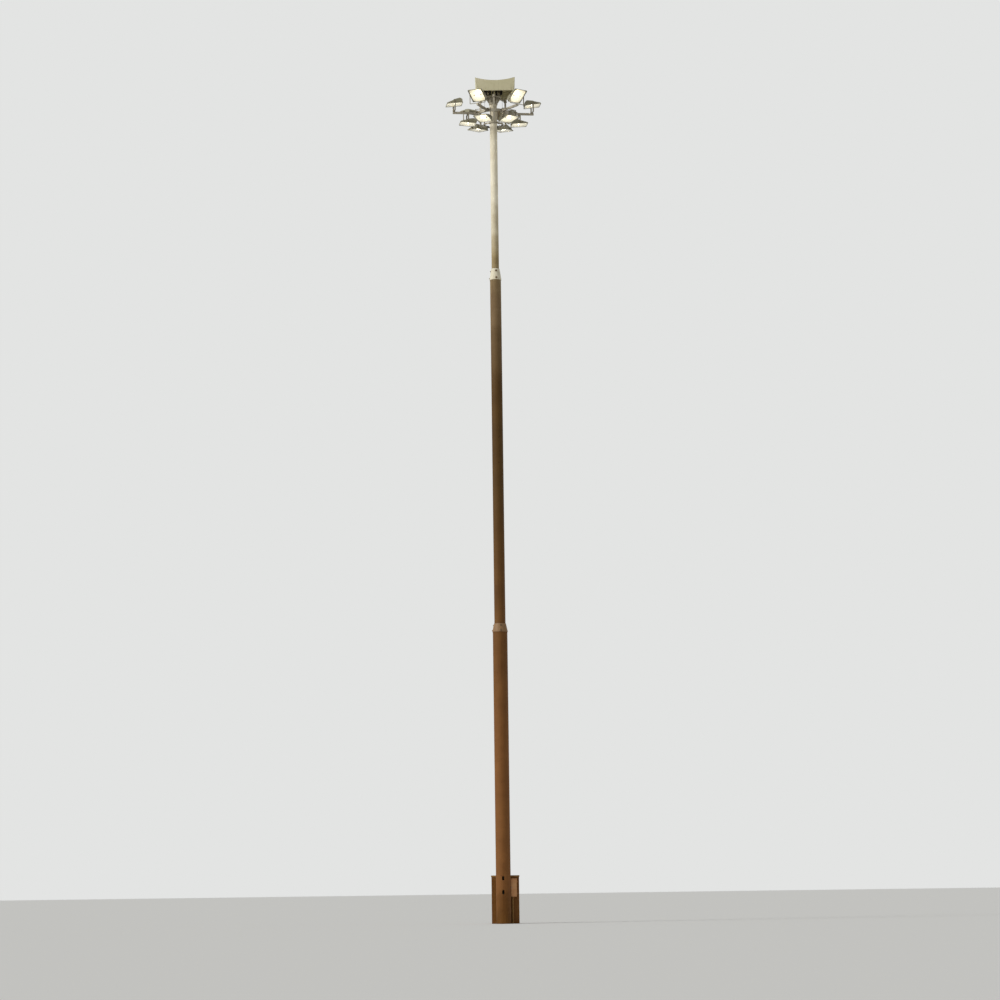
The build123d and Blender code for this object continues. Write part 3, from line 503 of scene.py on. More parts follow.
def moulded(name, base, dark, roughness, grain):
    """Moulded rubber or plastic: a spark-eroded grain, greyed by dust where the weather reaches it.

    The real grain, about 0.2 mm, wouldn't show, so grain is 1 to 2 mm here."""
    finish, tree, shader, coords = start_finish(name, base, 0.0, roughness)
    pits = add_node(tree, "ShaderNodeTexVoronoi", {"Scale": 1 / grain}, {"Vector": coords})
    dust = add_node(tree, "ShaderNodeTexNoise", {"Scale": 12.0, "Detail": 6.0}, {"Vector": coords})
    tone = add_node(tree, "ShaderNodeValToRGB", {"stops": ((0.35, dark), (0.65, base))}, {"Fac": dust})
    gloss = add_node(
        tree, "ShaderNodeMapRange", {"To Min": roughness - 0.1, "To Max": roughness + 0.15}, {"Value": dust}
    )
    relief = add_node(
        tree,
        "ShaderNodeBump",
        {"Strength": 0.35, "Distance": grain * 0.1},
        {"Height": pits.outputs["Distance"]},
    )
    feed(tree, shader, {"Base Color": tone, "Roughness": gloss, "Normal": relief})
    return finish


def toughened_glass():
    """Toughened sheet glass, 5 mm: clear, a little green in its depth, with a film of dust."""
    finish, tree, shader, coords = start_finish("toughened_sheet_glass", linear("#F4F7F0"), 0.0, 0.06)
    shader.inputs["IOR"].default_value = 1.52
    shader.inputs["Transmission Weight"].default_value = 1.0
    film = add_node(
        tree, "ShaderNodeTexNoise", {"Scale": 14.0, "Detail": 7.0, "Roughness": 0.6}, {"Vector": coords}
    )
    gloss = add_node(
        tree,
        "ShaderNodeMapRange",
        {"From Min": 0.35, "From Max": 0.7, "To Min": 0.03, "To Max": 0.2},
        {"Value": film},
    )
    feed(tree, shader, {"Roughness": gloss})
    return finish


def lit_reflector(glow, strength):
    """Hammered anodised aluminium bowl, lit by its lamp: a warm glow that falls off away from the lamp."""
    finish, tree, shader, coords = start_finish("lit_hammered_aluminium", linear("#9A907A"), 0.9, 0.3)
    # The hammered dimples are about 18 mm across.
    dimples = add_node(tree, "ShaderNodeTexVoronoi", {"Scale": 55.0}, {"Vector": coords})
    facets = add_node(
        tree, "ShaderNodeMapRange", {"To Min": 1.1, "To Max": 0.75}, {"Value": dimples.outputs["Distance"]}
    )
    near = add_node(tree, "ShaderNodeAttribute", {"attribute_name": "nearness"})
    fall = add_node(
        tree,
        "ShaderNodeMapRange",
        {"From Max": 0.8, "To Min": strength * 0.40, "To Max": strength},
        {"Value": near.outputs["Fac"]},
    )
    tone = add_node(tree, "ShaderNodeMath", {"operation": "MULTIPLY"}, {0: facets, 1: fall})
    shader.inputs["Emission Color"].default_value = glow
    relief = add_node(
        tree,
        "ShaderNodeBump",
        {"Strength": 0.5, "Distance": 0.002},
        {"Height": dimples.outputs["Distance"]},
    )
    feed(tree, shader, {"Emission Strength": tone, "Normal": relief})
    return finish


def lit_lamp(glow, strength):
    """The burning arc tube: frosted quartz, the brightest thing inside the floodlight."""
    finish, tree, shader, coords = start_finish("burning_frosted_quartz", linear("#FFF6E0"), 0.0, 0.35)
    frost = add_node(tree, "ShaderNodeTexNoise", {"Scale": 60.0, "Detail": 4.0}, {"Vector": coords})
    tone = add_node(
        tree, "ShaderNodeMapRange", {"To Min": strength * 0.9, "To Max": strength * 1.2}, {"Value": frost}
    )
    shader.inputs["Emission Color"].default_value = glow
    feed(tree, shader, {"Emission Strength": tone})
    return finish


FINISHES = {}


def make_finishes(paint):
    """All the finishes, from the colours that the panel holds."""
    FINISHES.update(
        tube=alkyd_tube(paint),
        collar=cream_enamel(paint),
        zinc=dulled_zinc(),
        hood=hood_coating(paint.hood),
        casting=cast_alloy(paint.floodlight),
        cabinet=cabinet_paint("brown_alkyd_on_cabinet", paint.cabinet, linear("#7C5222")),
        cap=cabinet_paint("brown_alkyd_on_cap", paint.cap, linear("#A07C4A")),
        box=box_coat(paint.switch_box),
        # Sand-cast iron under oil is near black, with a dull sheen on its grain.
        iron=plain_metal("oiled_cast_iron", linear("#4B4640"), linear("#2C2622"), 0.5, 0.7, 0.006),
        # Drawn wire under grease is dark, and bright where the grease has gone.
        rope=plain_metal("greased_rope_wire", linear("#6A655A"), linear("#37322A"), 0.42, 0.85, 0.004),
        # Thin zinc plating goes dull, and rust comes through in specks.
        bolts=plain_metal(
            "rusting_zinc_plated_bolts", linear("#7C6A50"), linear("#5A3A22"), 0.5, 0.6, 0.008
        ),
        # Plated strip is a paler, more even grey than dipped steel.
        stirrup=plain_metal("zinc_plated_strip", linear("#9C9583"), linear("#766C58"), 0.45, 0.5, 0.015),
        # Stainless steel stays bright.
        steel=plain_metal("stainless_screws", linear("#A8A499"), linear("#77736A"), 0.34, 0.95, 0.004),
        # A bead under the mast's paint is rough and dark, with hardly a sheen.
        weld=plain_metal("painted_weld_bead", linear("#6A5036"), linear("#4A331E"), 0.55, 0.1, 0.006),
        # Rubber is matt and takes the dust.
        rubber=moulded("black_moulded_rubber", linear("#26231F"), linear("#3A342C"), 0.75, 0.002),
        # Polycarbonate is half matt as it leaves the mould, and yellows.
        plastic=moulded("beige_moulded_polycarbonate", linear("#8F8060"), linear("#6E6048"), 0.5, 0.0015),
        # Nylon is black right through, with a fine grain.
        black=moulded("black_moulded_nylon", linear("#1F1D1B"), linear("#34302A"), 0.55, 0.001),
        # Polyamide is the pale grey of switchgear.
        pale=moulded("pale_grey_moulded_polyamide", linear("#C4C2B8"), linear("#A3A095"), 0.5, 0.001),
        glass=toughened_glass(),
        bowl=lit_reflector(paint.glow, paint.glow_strength),
        lamp=lit_lamp(paint.glow, paint.glow_strength * 8.0),
    )


def dress(finish, *names):
    """Gives CAD nodes a finish in place of the plain one that they came with."""
    for name in names:
        slots = NODES[name].material_slots
        if not slots:
            NODES[name].data.materials.append(FINISHES[finish])
        for slot in slots:
            slot.material = FINISHES[finish]


def new_piece(name, mesh, body):
    """Puts a finished mesh in the scene as a piece that rides a body, its finishes coming with the mesh."""
    piece = bpy.data.objects.new(name, mesh)
    bpy.context.scene.collection.objects.link(piece)
    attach(piece, body)
    return piece


def new_tree(name, inputs):
    """A Geometry Nodes tree with a mesh in and out and named inputs; gives it with its input node."""
    tree = bpy.data.node_groups.new(name, "GeometryNodeTree")
    tree.interface.new_socket("Spots", in_out="INPUT", socket_type="NodeSocketGeometry")
    tree.interface.new_socket("Made", in_out="OUTPUT", socket_type="NodeSocketGeometry")
    for label, default in inputs.items():
        kind = "NodeSocketInt" if isinstance(default, int) else "NodeSocketFloat"
        socket = tree.interface.new_socket(label, in_out="INPUT", socket_type=kind)
        socket.default_value = default
        if kind == "NodeSocketFloat":
            socket.subtype = "DISTANCE"
    tree.interface.new_socket("Finish", in_out="INPUT", socket_type="NodeSocketMaterial")
    return tree, tree.nodes.new("NodeGroupInput").outputs


def end_tree(tree, given, geometry):
    """Ends a tree: its instances made real and its finish set."""
    real = add_node(tree, "GeometryNodeRealizeInstances", {}, {"Geometry": geometry})
    painted = add_node(tree, "GeometryNodeSetMaterial", {}, {"Geometry": real, "Material": given["Finish"]})
    add_node(tree, "NodeGroupOutput", {}, {"Made": painted})
    return tree


def end_on_spots(tree, given, instance):
    """Ends a tree with the instance set on each vertex, its z axis along the vertex's outward vector."""
    facing = add_node(
        tree, "GeometryNodeInputNamedAttribute", {"data_type": "FLOAT_VECTOR", "Name": "outward"}
    )
    turned = add_node(tree, "FunctionNodeAlignRotationToVector", {"axis": "Z"}, {"Vector": facing})
    placed = add_node(
        tree,
        "GeometryNodeInstanceOnPoints",
        {},
        {"Points": given["Spots"], "Instance": instance, "Rotation": turned},
    )
    return end_tree(tree, given, placed)


def bolt_tree():
    """A hex head on a round washer at each vertex, pointing along the vertex's outward vector."""
    sizes = {"Across flats": 0.03, "Head height": 0.02, "Washer": 0.05, "Washer height": 0.004}
    tree, given = new_tree("bolts_on_spots", sizes)
    corner = add_node(
        tree, "ShaderNodeMath", {"operation": "DIVIDE", 1: math.sqrt(3)}, {0: given["Across flats"]}
    )
    head = add_node(
        tree, "GeometryNodeMeshCylinder", {"Vertices": 6}, {"Radius": corner, "Depth": given["Head height"]}
    )
    half = add_node(tree, "ShaderNodeMath", {"operation": "MULTIPLY", 1: 0.5}, {0: given["Head height"]})
    lift = add_node(tree, "ShaderNodeMath", {}, {0: half, 1: given["Washer height"]})
    raise_by = add_node(tree, "ShaderNodeCombineXYZ", {}, {"Z": lift})
    raised = add_node(tree, "GeometryNodeTransform", {}, {"Geometry": head, "Translation": raise_by})
    washer_r = add_node(tree, "ShaderNodeMath", {"operation": "MULTIPLY", 1: 0.5}, {0: given["Washer"]})
    washer = add_node(
        tree,
        "GeometryNodeMeshCylinder",
        {"Vertices": 16},
        {"Radius": washer_r, "Depth": given["Washer height"]},
    )
    thin = add_node(tree, "ShaderNodeMath", {"operation": "MULTIPLY", 1: 0.5}, {0: given["Washer height"]})
    seat = add_node(tree, "ShaderNodeCombineXYZ", {}, {"Z": thin})
    seated = add_node(tree, "GeometryNodeTransform", {}, {"Geometry": washer, "Translation": seat})
    both = add_node(tree, "GeometryNodeJoinGeometry", {}, {"Geometry": raised})
    feed(tree, both, {"Geometry": seated})
    return end_on_spots(tree, given, both)


def rivet_tree():
    """A round rivet or screw head at each vertex, pointing along the vertex's outward vector."""
    tree, given = new_tree("rivets_on_spots", {"Head": 0.012, "Rise": 0.004})
    half = add_node(tree, "ShaderNodeMath", {"operation": "MULTIPLY", 1: 0.5}, {0: given["Head"]})
    ball = add_node(tree, "GeometryNodeMeshUVSphere", {"Segments": 10, "Rings": 6}, {"Radius": half})
    squash = add_node(tree, "ShaderNodeMath", {"operation": "DIVIDE"}, {0: given["Rise"], 1: half})
    scale = add_node(tree, "ShaderNodeCombineXYZ", {"X": 1.0, "Y": 1.0}, {"Z": squash})
    dome = add_node(tree, "GeometryNodeTransform", {}, {"Geometry": ball, "Scale": scale})
    smooth = add_node(tree, "GeometryNodeSetShadeSmooth", {"Shade Smooth": True}, {"Geometry": dome})
    return end_on_spots(tree, given, smooth)


def bead_tree():
    """A rippled weld bead round each vertex, as wide a ring as the vertex's reach."""
    tree, given = new_tree("weld_beads", {"Bead": 0.010, "Ripple": 0.012})
    ring = add_node(tree, "GeometryNodeCurvePrimitiveCircle", {"Resolution": 64, "Radius": 1.0})
    reach = add_node(tree, "GeometryNodeInputNamedAttribute", {"data_type": "FLOAT", "Name": "reach"})
    placed = add_node(
        tree,
        "GeometryNodeInstanceOnPoints",
        {},
        {"Points": given["Spots"], "Instance": ring, "Scale": reach},
    )
    real = add_node(tree, "GeometryNodeRealizeInstances", {}, {"Geometry": placed})
    cut = add_node(
        tree, "GeometryNodeResampleCurve", {"mode": "LENGTH"}, {"Curve": real, "Length": given["Ripple"]}
    )
    index = add_node(tree, "GeometryNodeInputIndex")
    odd = add_node(tree, "ShaderNodeMath", {"operation": "MODULO", 1: 2.0}, {0: index})
    swell = add_node(tree, "ShaderNodeMapRange", {"To Min": 0.8, "To Max": 1.15}, {"Value": odd})
    half = add_node(tree, "ShaderNodeMath", {"operation": "MULTIPLY", 1: 0.5}, {0: given["Bead"]})
    width = add_node(tree, "ShaderNodeMath", {"operation": "MULTIPLY"}, {0: swell, 1: half})
    profile = add_node(tree, "GeometryNodeCurvePrimitiveCircle", {"Resolution": 8, "Radius": 1.0})
    bead = add_node(
        tree,
        "GeometryNodeCurveToMesh",
        {"Fill Caps": True},
        {"Curve": cut, "Profile Curve": profile, "Scale": width},
    )
    return end_tree(tree, given, bead)


def strand_tree():
    """A laid wire rope that climbs from each vertex."""
    tree, given = new_tree("laid_rope", {"Strands": 6, "Rope": 0.010, "Lay": 0.065, "Climb": 0.7})
    # Six strands that touch round a core are each a third of the rope's width thick, and lie a third out.
    pitch_r = add_node(tree, "ShaderNodeMath", {"operation": "MULTIPLY", 1: 0.333}, {0: given["Rope"]})
    strand_r = add_node(tree, "ShaderNodeMath", {"operation": "MULTIPLY", 1: 0.172}, {0: given["Rope"]})
    turns = add_node(tree, "ShaderNodeMath", {"operation": "DIVIDE"}, {0: given["Climb"], 1: given["Lay"]})
    helix = add_node(
        tree,
        "GeometryNodeCurveSpiral",
        {"Resolution": 14},
        {"Rotations": turns, "Start Radius": pitch_r, "End Radius": pitch_r, "Height": given["Climb"]},
    )
    heads = add_node(tree, "GeometryNodeMeshLine", {"Offset": (0.0, 0.0, 0.0)}, {"Count": given["Strands"]})
    index = add_node(tree, "GeometryNodeInputIndex")
    share = add_node(tree, "ShaderNodeMath", {"operation": "DIVIDE"}, {0: index, 1: given["Strands"]})
    around = add_node(tree, "ShaderNodeMath", {"operation": "MULTIPLY", 1: math.tau}, {0: share})
    turn = add_node(tree, "ShaderNodeCombineXYZ", {}, {"Z": around})
    bundle = add_node(
        tree, "GeometryNodeInstanceOnPoints", {}, {"Points": heads, "Instance": helix, "Rotation": turn}
    )
    real = add_node(tree, "GeometryNodeRealizeInstances", {}, {"Geometry": bundle})
    profile = add_node(tree, "GeometryNodeCurvePrimitiveCircle", {"Resolution": 7}, {"Radius": strand_r})
    wires = add_node(
        tree, "GeometryNodeCurveToMesh", {"Fill Caps": True}, {"Curve": real, "Profile Curve": profile}
    )
    smooth = add_node(tree, "GeometryNodeSetShadeSmooth", {"Shade Smooth": True}, {"Geometry": wires})
    placed = add_node(
        tree, "GeometryNodeInstanceOnPoints", {}, {"Points": given["Spots"], "Instance": smooth}
    )
    return end_tree(tree, given, placed)


TREES = {}


def grow(name, tree_name, spots, values, finish, reaches=None):
    """Runs a tree on spots, each a place and an outward vector, and gives the plain mesh that it made."""
    mesh = bpy.data.meshes.new(name + "_spots")
    mesh.from_pydata([tuple(place) for place, _ in spots], [], [])
    facing = mesh.attributes.new("outward", "FLOAT_VECTOR", "POINT")
    for item, (_, outward) in zip(facing.data, spots):
        item.vector = outward
    if reaches:
        reach = mesh.attributes.new("reach", "FLOAT", "POINT")
        for item, value in zip(reach.data, reaches):
            item.value = value
    tree = TREES[tree_name]
    carrier = bpy.data.objects.new(name + "_carrier", mesh)
    bpy.context.scene.collection.objects.link(carrier)
    modifier = carrier.modifiers.new("made", "NODES")
    modifier.node_group = tree
    for item in tree.interface.items_tree:
        if item.in_out == "INPUT" and item.name in values:
            modifier[item.identifier] = values[item.name]
        if item.in_out == "INPUT" and item.name == "Finish":
            modifier[item.identifier] = FINISHES[finish]
    depsgraph = bpy.context.evaluated_depsgraph_get()
    made = bpy.data.meshes.new_from_object(carrier.evaluated_get(depsgraph), depsgraph=depsgraph)
    carrier.modifiers.clear()
    bpy.data.objects.remove(carrier)
    bpy.data.meshes.remove(mesh)
    made.name = name
    if not len(made.polygons):
        raise RuntimeError(f"{name} came out empty")
    return made


class Shape:
    """A mesh in the making, with one finish for each of its faces."""

    def __init__(self):
        self.bm = bmesh.new()
        self.finishes = []
        self.place = Matrix.Identity(4)

    def number(self, finish):
        """The place of a finish in the mesh's list, where it is added if new."""
        if finish not in self.finishes:
            self.finishes.append(finish)
        return self.finishes.index(finish)

    def loft(self, rings, finish, smooth=True, foot=True, top=True):
        """Skins rings of points, and closes its foot and its top with a cap."""
        number = self.number(finish)
        rows = [[self.bm.verts.new(self.place @ Vector(point)) for point in ring] for ring in rings]
        faces = []
        count = len(rows[0])
        for low, high in zip(rows, rows[1:]):
            for i in range(count):
                j = (i + 1) % count
                faces.append(self.bm.faces.new((low[i], low[j], high[j], high[i])))
        if foot:
            faces.append(self.bm.faces.new(list(reversed(rows[0]))))
        if top:
            faces.append(self.bm.faces.new(rows[-1]))
        for face in faces:
            face.material_index = number
            face.smooth = smooth and len(face.verts) == 4
        return faces

    def lathe(self, profile, axis_place, finish, sides=20, smooth=True, capped=True):
        """Turns (radius, height) pairs about the z axis of a placed frame. A ring's profile ends where it
        starts, and has no caps."""
        keep = self.place
        self.place = self.place @ axis_place
        rings = []
        for radius, height in profile:
            ring = []
            for i in range(sides):
                angle = math.tau * i / sides
                ring.append((radius * math.cos(angle), radius * math.sin(angle), height))
            rings.append(ring)
        self.loft(rings, finish, smooth, foot=capped, top=capped)
        self.place = keep

    def bar(self, outline, depth, axis_place, finish):
        """Pushes a flat outline along the z axis of a placed frame."""
        keep = self.place
        self.place = self.place @ axis_place
        low = [(x, y, -depth / 2) for x, y in outline]
        high = [(x, y, depth / 2) for x, y in outline]
        self.loft([low, high], finish, smooth=False)
        self.place = keep

    def done(self, name):
        """The finished mesh, its doubles merged and its faces turned outwards."""
        bmesh.ops.remove_doubles(self.bm, verts=self.bm.verts, dist=0.000001)
        bmesh.ops.recalc_face_normals(self.bm, faces=self.bm.faces)
        mesh = bpy.data.meshes.new(name)
        self.bm.to_mesh(mesh)
        self.bm.free()
        for finish in self.finishes:
            mesh.materials.append(FINISHES[finish])
        return mesh


def joined(name, meshes):
    """One mesh from several, each keeping its own finish."""
    bm = bmesh.new()
    materials = []
    for mesh in meshes:
        start = len(bm.faces)
        bm.from_mesh(mesh)
        bm.faces.ensure_lookup_table()
        for face in bm.faces[start:]:
            material = mesh.materials[face.material_index]
            if material not in materials:
                materials.append(material)
            face.material_index = materials.index(material)
    out = bpy.data.meshes.new(name)
    bm.to_mesh(out)
    bm.free()
    for material in materials:
        out.materials.append(material)
    return out


def grow_bolts(name, spots, flats, head, washer, washer_height):
    """Hex bolts with washers on spots."""
    sizes = {"Across flats": flats, "Head height": head, "Washer": washer, "Washer height": washer_height}
    return grow(name, "bolts", spots, sizes, "bolts")


def grow_rivets(name, spots, head, rise, finish):
    """Round rivets or screw heads on spots."""
    return grow(name, "rivets", spots, {"Head": head, "Rise": rise}, finish)


def out_and_side(angle):
    """Level unit vectors that point out from the mast and round it, at an angle."""
    out = Vector((math.cos(math.radians(angle)), math.sin(math.radians(angle)), 0.0))
    return out, Vector((-out.y, out.x, 0.0))


def up(height):
    """An upright vector of a length."""
    return Vector((0.0, 0.0, height))


def looking(direction, place):
    """A frame at a place whose z axis looks along a direction."""
    return Matrix.Translation(place) @ Vector(direction).to_track_quat("Z", "Y").to_matrix().to_4x4()


def spread(first, length, count):
    """Places spaced evenly over a length."""
    return [first + step * length / (count - 1) for step in range(count)]


def floodlights():
    """Gives each floodlight's name, the way up of its stirrup, its pivot, its arm's angle and its tilt."""
    for tier, way, tilts in TIERS:
        for number, (angle, tilt) in enumerate(zip(ARM_ANGLES, tilts), 1):
            name = f"{tier}_{number}"
            yield name, way, Vector(JOINTS["tilt_" + name]["pos_m"]), angle, tilt


class MastPaint(PropertyGroup):
    """Colours of the coats, and the light of the lamps."""

    foot: FloatVectorProperty(
        name="Mast foot",
        description="Paint of the mast at its foot, darkened by splashed dirt",
        default=linear("#64400F"),
        **COLOUR,
    )
    lower: FloatVectorProperty(
        name="Lower mast",
        description="Paint of the mast up to a quarter of its height",
        default=linear("#82562C"),
        **COLOUR,
    )
    middle: FloatVectorProperty(
        name="Middle mast",
        description="Paint of the mast at half its height",
        default=linear("#59401C"),
        **COLOUR,
    )
    upper: FloatVectorProperty(
        name="Upper mast",
        description="Paint of the mast above the upper collar",
        default=linear("#826C4E"),
        **COLOUR,
    )
    # Painted lamp light: the mast's brown lightened below the crown, where the floodlights' glow begins.
    faded: FloatVectorProperty(
        name="Mast fading into painted lamp light",
        description="Paint of the mast below the crown, where it fades",
        default=linear("#AC9A72"),
        **COLOUR,
    )
    # Painted lamp light: the mast's brown lightened to cream beside the floodlights.
    painted_lamp_light: FloatVectorProperty(
        name="Mast in painted lamp light",
        description="Paint of the mast beside the lamps",
        default=linear("#F3ECD6"),
        **COLOUR,
    )
    lower_collar: FloatVectorProperty(
        name="Lower collar",
        description="Enamel on the lower cone collar, browned by dust",
        default=linear("#917252"),
        **COLOUR,
    )
    upper_collar: FloatVectorProperty(
        name="Upper collar",
        description="Enamel on the upper cone collar",
        default=linear("#E2DBC4"),
        **COLOUR,
    )
    hood: FloatVectorProperty(
        name="Hood",
        description="Paint on the hood over the head",
        default=linear("#CFC8A4"),
        **COLOUR,
    )
    floodlight: FloatVectorProperty(
        name="Floodlights",
        description="Powder coat on the floodlight housings",
        default=linear("#8C8871"),
        **COLOUR,
    )
    cabinet: FloatVectorProperty(
        name="Cabinet",
        description="Paint on the cabinet at the foot",
        default=linear("#6E4414"),
        **COLOUR,
    )
    cap: FloatVectorProperty(
        name="Cabinet cap",
        description="Paint on the cap of the cabinet",
        default=linear("#8C6838"),
        **COLOUR,
    )
    switch_box: FloatVectorProperty(
        name="Switch box",
        description="Powder coat on the switch box and its door",
        default=linear("#C48B5C"),
        **COLOUR,
    )
    glow: FloatVectorProperty(
        name="Lamp light",
        description="Colour of the burning lamps",
        default=linear("#FFF3DC"),
        **COLOUR,
    )
    glow_strength: FloatProperty(
        name="Lamp brightness",
        description="How brightly the reflectors glow beside the lamp",
        default=2.1,
        min=0.0,
        max=20.0,
    )


class MastFasteners(PropertyGroup):
    """Sizes of the bolts, screws, welds and ropes."""

    collar_flats: FloatProperty(
        name="Collar bolt",
        description="Width across the flats of the bolts that clamp the collars",
        default=0.046,
        min=0.01,
        unit="LENGTH",
    )
    frame_flats: FloatProperty(
        name="Frame bolt",
        description="Width across the flats of the bolts in the head and the crown",
        default=0.030,
        min=0.005,
        unit="LENGTH",
    )
    screw_head: FloatProperty(
        name="Screw head",
        description="Width of the screws in the sheet metal",
        default=0.014,
        min=0.002,
        unit="LENGTH",
    )
    weld_bead: FloatProperty(
        name="Weld bead",
        description="Width of the weld beads on the mast",
        default=0.014,
        min=0.002,
        unit="LENGTH",
    )
    rope_strands: IntProperty(
        name="Rope strands",
        description="Strands laid round each hoisting rope",
        default=6,
        min=3,
        max=9,
    )
    rope_lay: FloatProperty(
        name="Rope lay",
        description="Height of one turn of a strand",
        default=0.065,
        min=0.02,
        unit="LENGTH",
    )


class MastStage(PropertyGroup):
    """The plain floor and the light on the tower."""

    floor_colour: FloatVectorProperty(
        name="Floor",
        description="Colour of the plain floor and background",
        default=linear("#E3E4E3"),
        **COLOUR,
    )
    key_light: FloatProperty(
        name="Key light",
        description="Strength of the soft light from the left front",
        default=2.3,
        min=0.0,
    )
    fill_light: FloatProperty(
        name="Fill light",
        description="Strength of the soft light from the right",
        default=0.12,
        min=0.0,
    )
    sky_light: FloatProperty(
        name="Sky light",
        description="Strength of the even light from all round",
        default=0.33,
        min=0.0,
    )


class MAST_OT_finishes(Operator):
    """Makes the finishes and gives them to the solid parts of the tower."""

    bl_idname = "mast.finishes"
    bl_label = "Finishes"

    def execute(self, context):
        make_finishes(context.scene.mast_paint)
        TREES.update(bolts=bolt_tree(), rivets=rivet_tree(), beads=bead_tree(), ropes=strand_tree())
        dress("tube", "base_plate", "lower_tube", "middle_tube", "top_tube", "cabinet_brackets")
        dress("collar", "lower_collar", "upper_collar")
        dress("zinc", "head_column", "docking_arms", "pulley_brackets", "hood_posts", "rope_spreader")
        dress("zinc", "crown_frame", "guide_cage", "docking_posts")
        dress("iron", "pulleys", "winch_drum")
        dress("rope", "hoist_ropes")
        dress("hood", "hood")
        dress("rubber", "guide_pads")
        dress("plastic", "junction_box")
        dress("stirrup", "upper_stirrups", "lower_stirrups")
        dress("cabinet", "winch_cabinet", "cabinet_cover")
        dress("cap", "cabinet_cap", "conduit", "conduit_clips")
        dress("box", "switch_box", "switch_box_door")
        for name, *_ in floodlights():
            dress("casting", f"flood_{name}")
            dress("glass", f"glass_{name}")
        return {"FINISHED"}


class MAST_OT_mast_joints(Operator):
    """Makes the weld beads of the mast and the clamping bolts of its collars."""

    bl_idname = "mast.joints"
    bl_label = "Mast joints"

    def execute(self, context):
        sizes = context.scene.mast_fasteners
        self.welds(sizes.weld_bead)
        self.clamps(sizes.collar_flats)
        return {"FINISHED"}

    def welds(self, bead):
        """A bead round the tube on top of each collar."""
        spots = []
        reaches = []
        for node, radius in (("lower_collar", MIDDLE_R), ("upper_collar", TOP_R)):
            spots.append((up(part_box(node)[1].z + 0.002), up(1.0)))
            reaches.append(radius + bead * 0.4)
        beads = grow("collar_welds", "beads", spots, {"Bead": bead, "Ripple": bead * 0.8}, "weld", reaches)
        new_piece("collar_welds", beads, "mast")

    def clamps(self, flats):
        """Two rings of three bolts square to the cone of each collar, their washers sunk in by a hair."""
        sink = 0.001
        spots = []
        for node, foot_tube, top_tube in (
            ("lower_collar", LOWER_R, MIDDLE_R),
            ("upper_collar", MIDDLE_R, TOP_R),
        ):
            low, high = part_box(node)
            foot = low.z + COLLAR_RIM
            foot_r = foot_tube + COLLAR_FOOT_WALL
            slope = (top_tube + COLLAR_TOP_WALL - foot_r) / (high.z - foot)
            for share in (0.12, 0.78):
                z = foot + (high.z - foot) * share
                radius = foot_r + slope * (z - foot)
                for step in range(3):
                    out, _ = out_and_side(-81.0 + 120.0 * step)
                    spots.append((out * (radius - sink) + up(z), (out - up(slope)).normalized()))
        bolts = grow_bolts("collar_bolts", spots, flats, flats * 0.62, flats * 1.7, flats * 0.09)
        new_piece("collar_bolts", bolts, "mast")


class MAST_OT_head_fittings(Operator):
    """Makes the bolts of the head plate and the nuts on the pulley pins."""

    bl_idname = "mast.head"
    bl_label = "Head fittings"

    def execute(self, context):
        flats = context.scene.mast_fasteners.frame_flats
        plate_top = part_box("hood_posts")[0].z
        low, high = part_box("pulleys")
        axle = up((low.z + high.z) / 2)
        under_arm = up(plate_top - HEAD_PLATE_T - DOCK_ARM_T)
        on_foot = up(plate_top + POST_FOOT_T)
        spots = []
        for angle in POST_ANGLES:
            out, side = out_and_side(angle)
            for reach, across in ((0.252, 0.02), (0.252, -0.02), (0.275, 0.0)):
                spots.append((out * reach + side * across + under_arm, up(-1.0)))
            for step in range(4):
                corner, _ = out_and_side(angle + 45.0 + 90.0 * step)
                spots.append((out * HOOD_POST_R + corner * 0.029 + on_foot, up(1.0)))
        small = grow_bolts("head_bolts", spots, flats * 0.5, flats * 0.34, flats * 0.62, 0.002)
        nuts = []
        for angle in ROPE_ANGLES:
            out, side = out_and_side(angle)
            for way in (-1, 1):
                nuts.append((out * PULLEY_R + side * way * PULLEY_CHEEK + axle, side * way))
        large = grow_bolts("pulley_nuts", nuts, flats * 1.35, 0.010, flats * 1.9, 0.003)
        new_piece("head_bolts", joined("head_bolts", [small, large]), "mast")
        return {"FINISHED"}


class MAST_OT_hood_trim(Operator):
    """Makes the rivets of the hood: two rows along each side, and one up each edge of its corners."""

    bl_idname = "mast.hood"
    bl_label = "Hood trim"

    def execute(self, context):
        head = context.scene.mast_fasteners.screw_head
        low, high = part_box("hood")
        foot = Vector(((low.x + high.x) / 2, 0.0, low.z))
        lean = ((high.x - low.x) / 2 - HOOD_FOOT_HALF) / (high.z - low.z)
        spots = []
        for quarter in range(4):
            out, side = out_and_side(90.0 * quarter)
            outward = (out - up(lean)).normalized()
            for step in range(9):
                for rise in (0.030, 0.290):
                    reach = HOOD_FOOT_HALF + lean * rise
                    spots.append((out * reach + side * (step - 4) * 0.155 + foot + up(rise), outward))
            for way in (-1, 1):
                for step in range(5):
                    rise = 0.07 + step * 0.075
                    reach = HOOD_FOOT_HALF + lean * rise
                    spots.append((out * reach + side * way * (reach - 0.03) + foot + up(rise), outward))
        rivets = grow_rivets("hood_rivets", spots, head, head * 0.28, "hood")
        new_piece("hood_rivets", rivets, "mast")
        return {"FINISHED"}


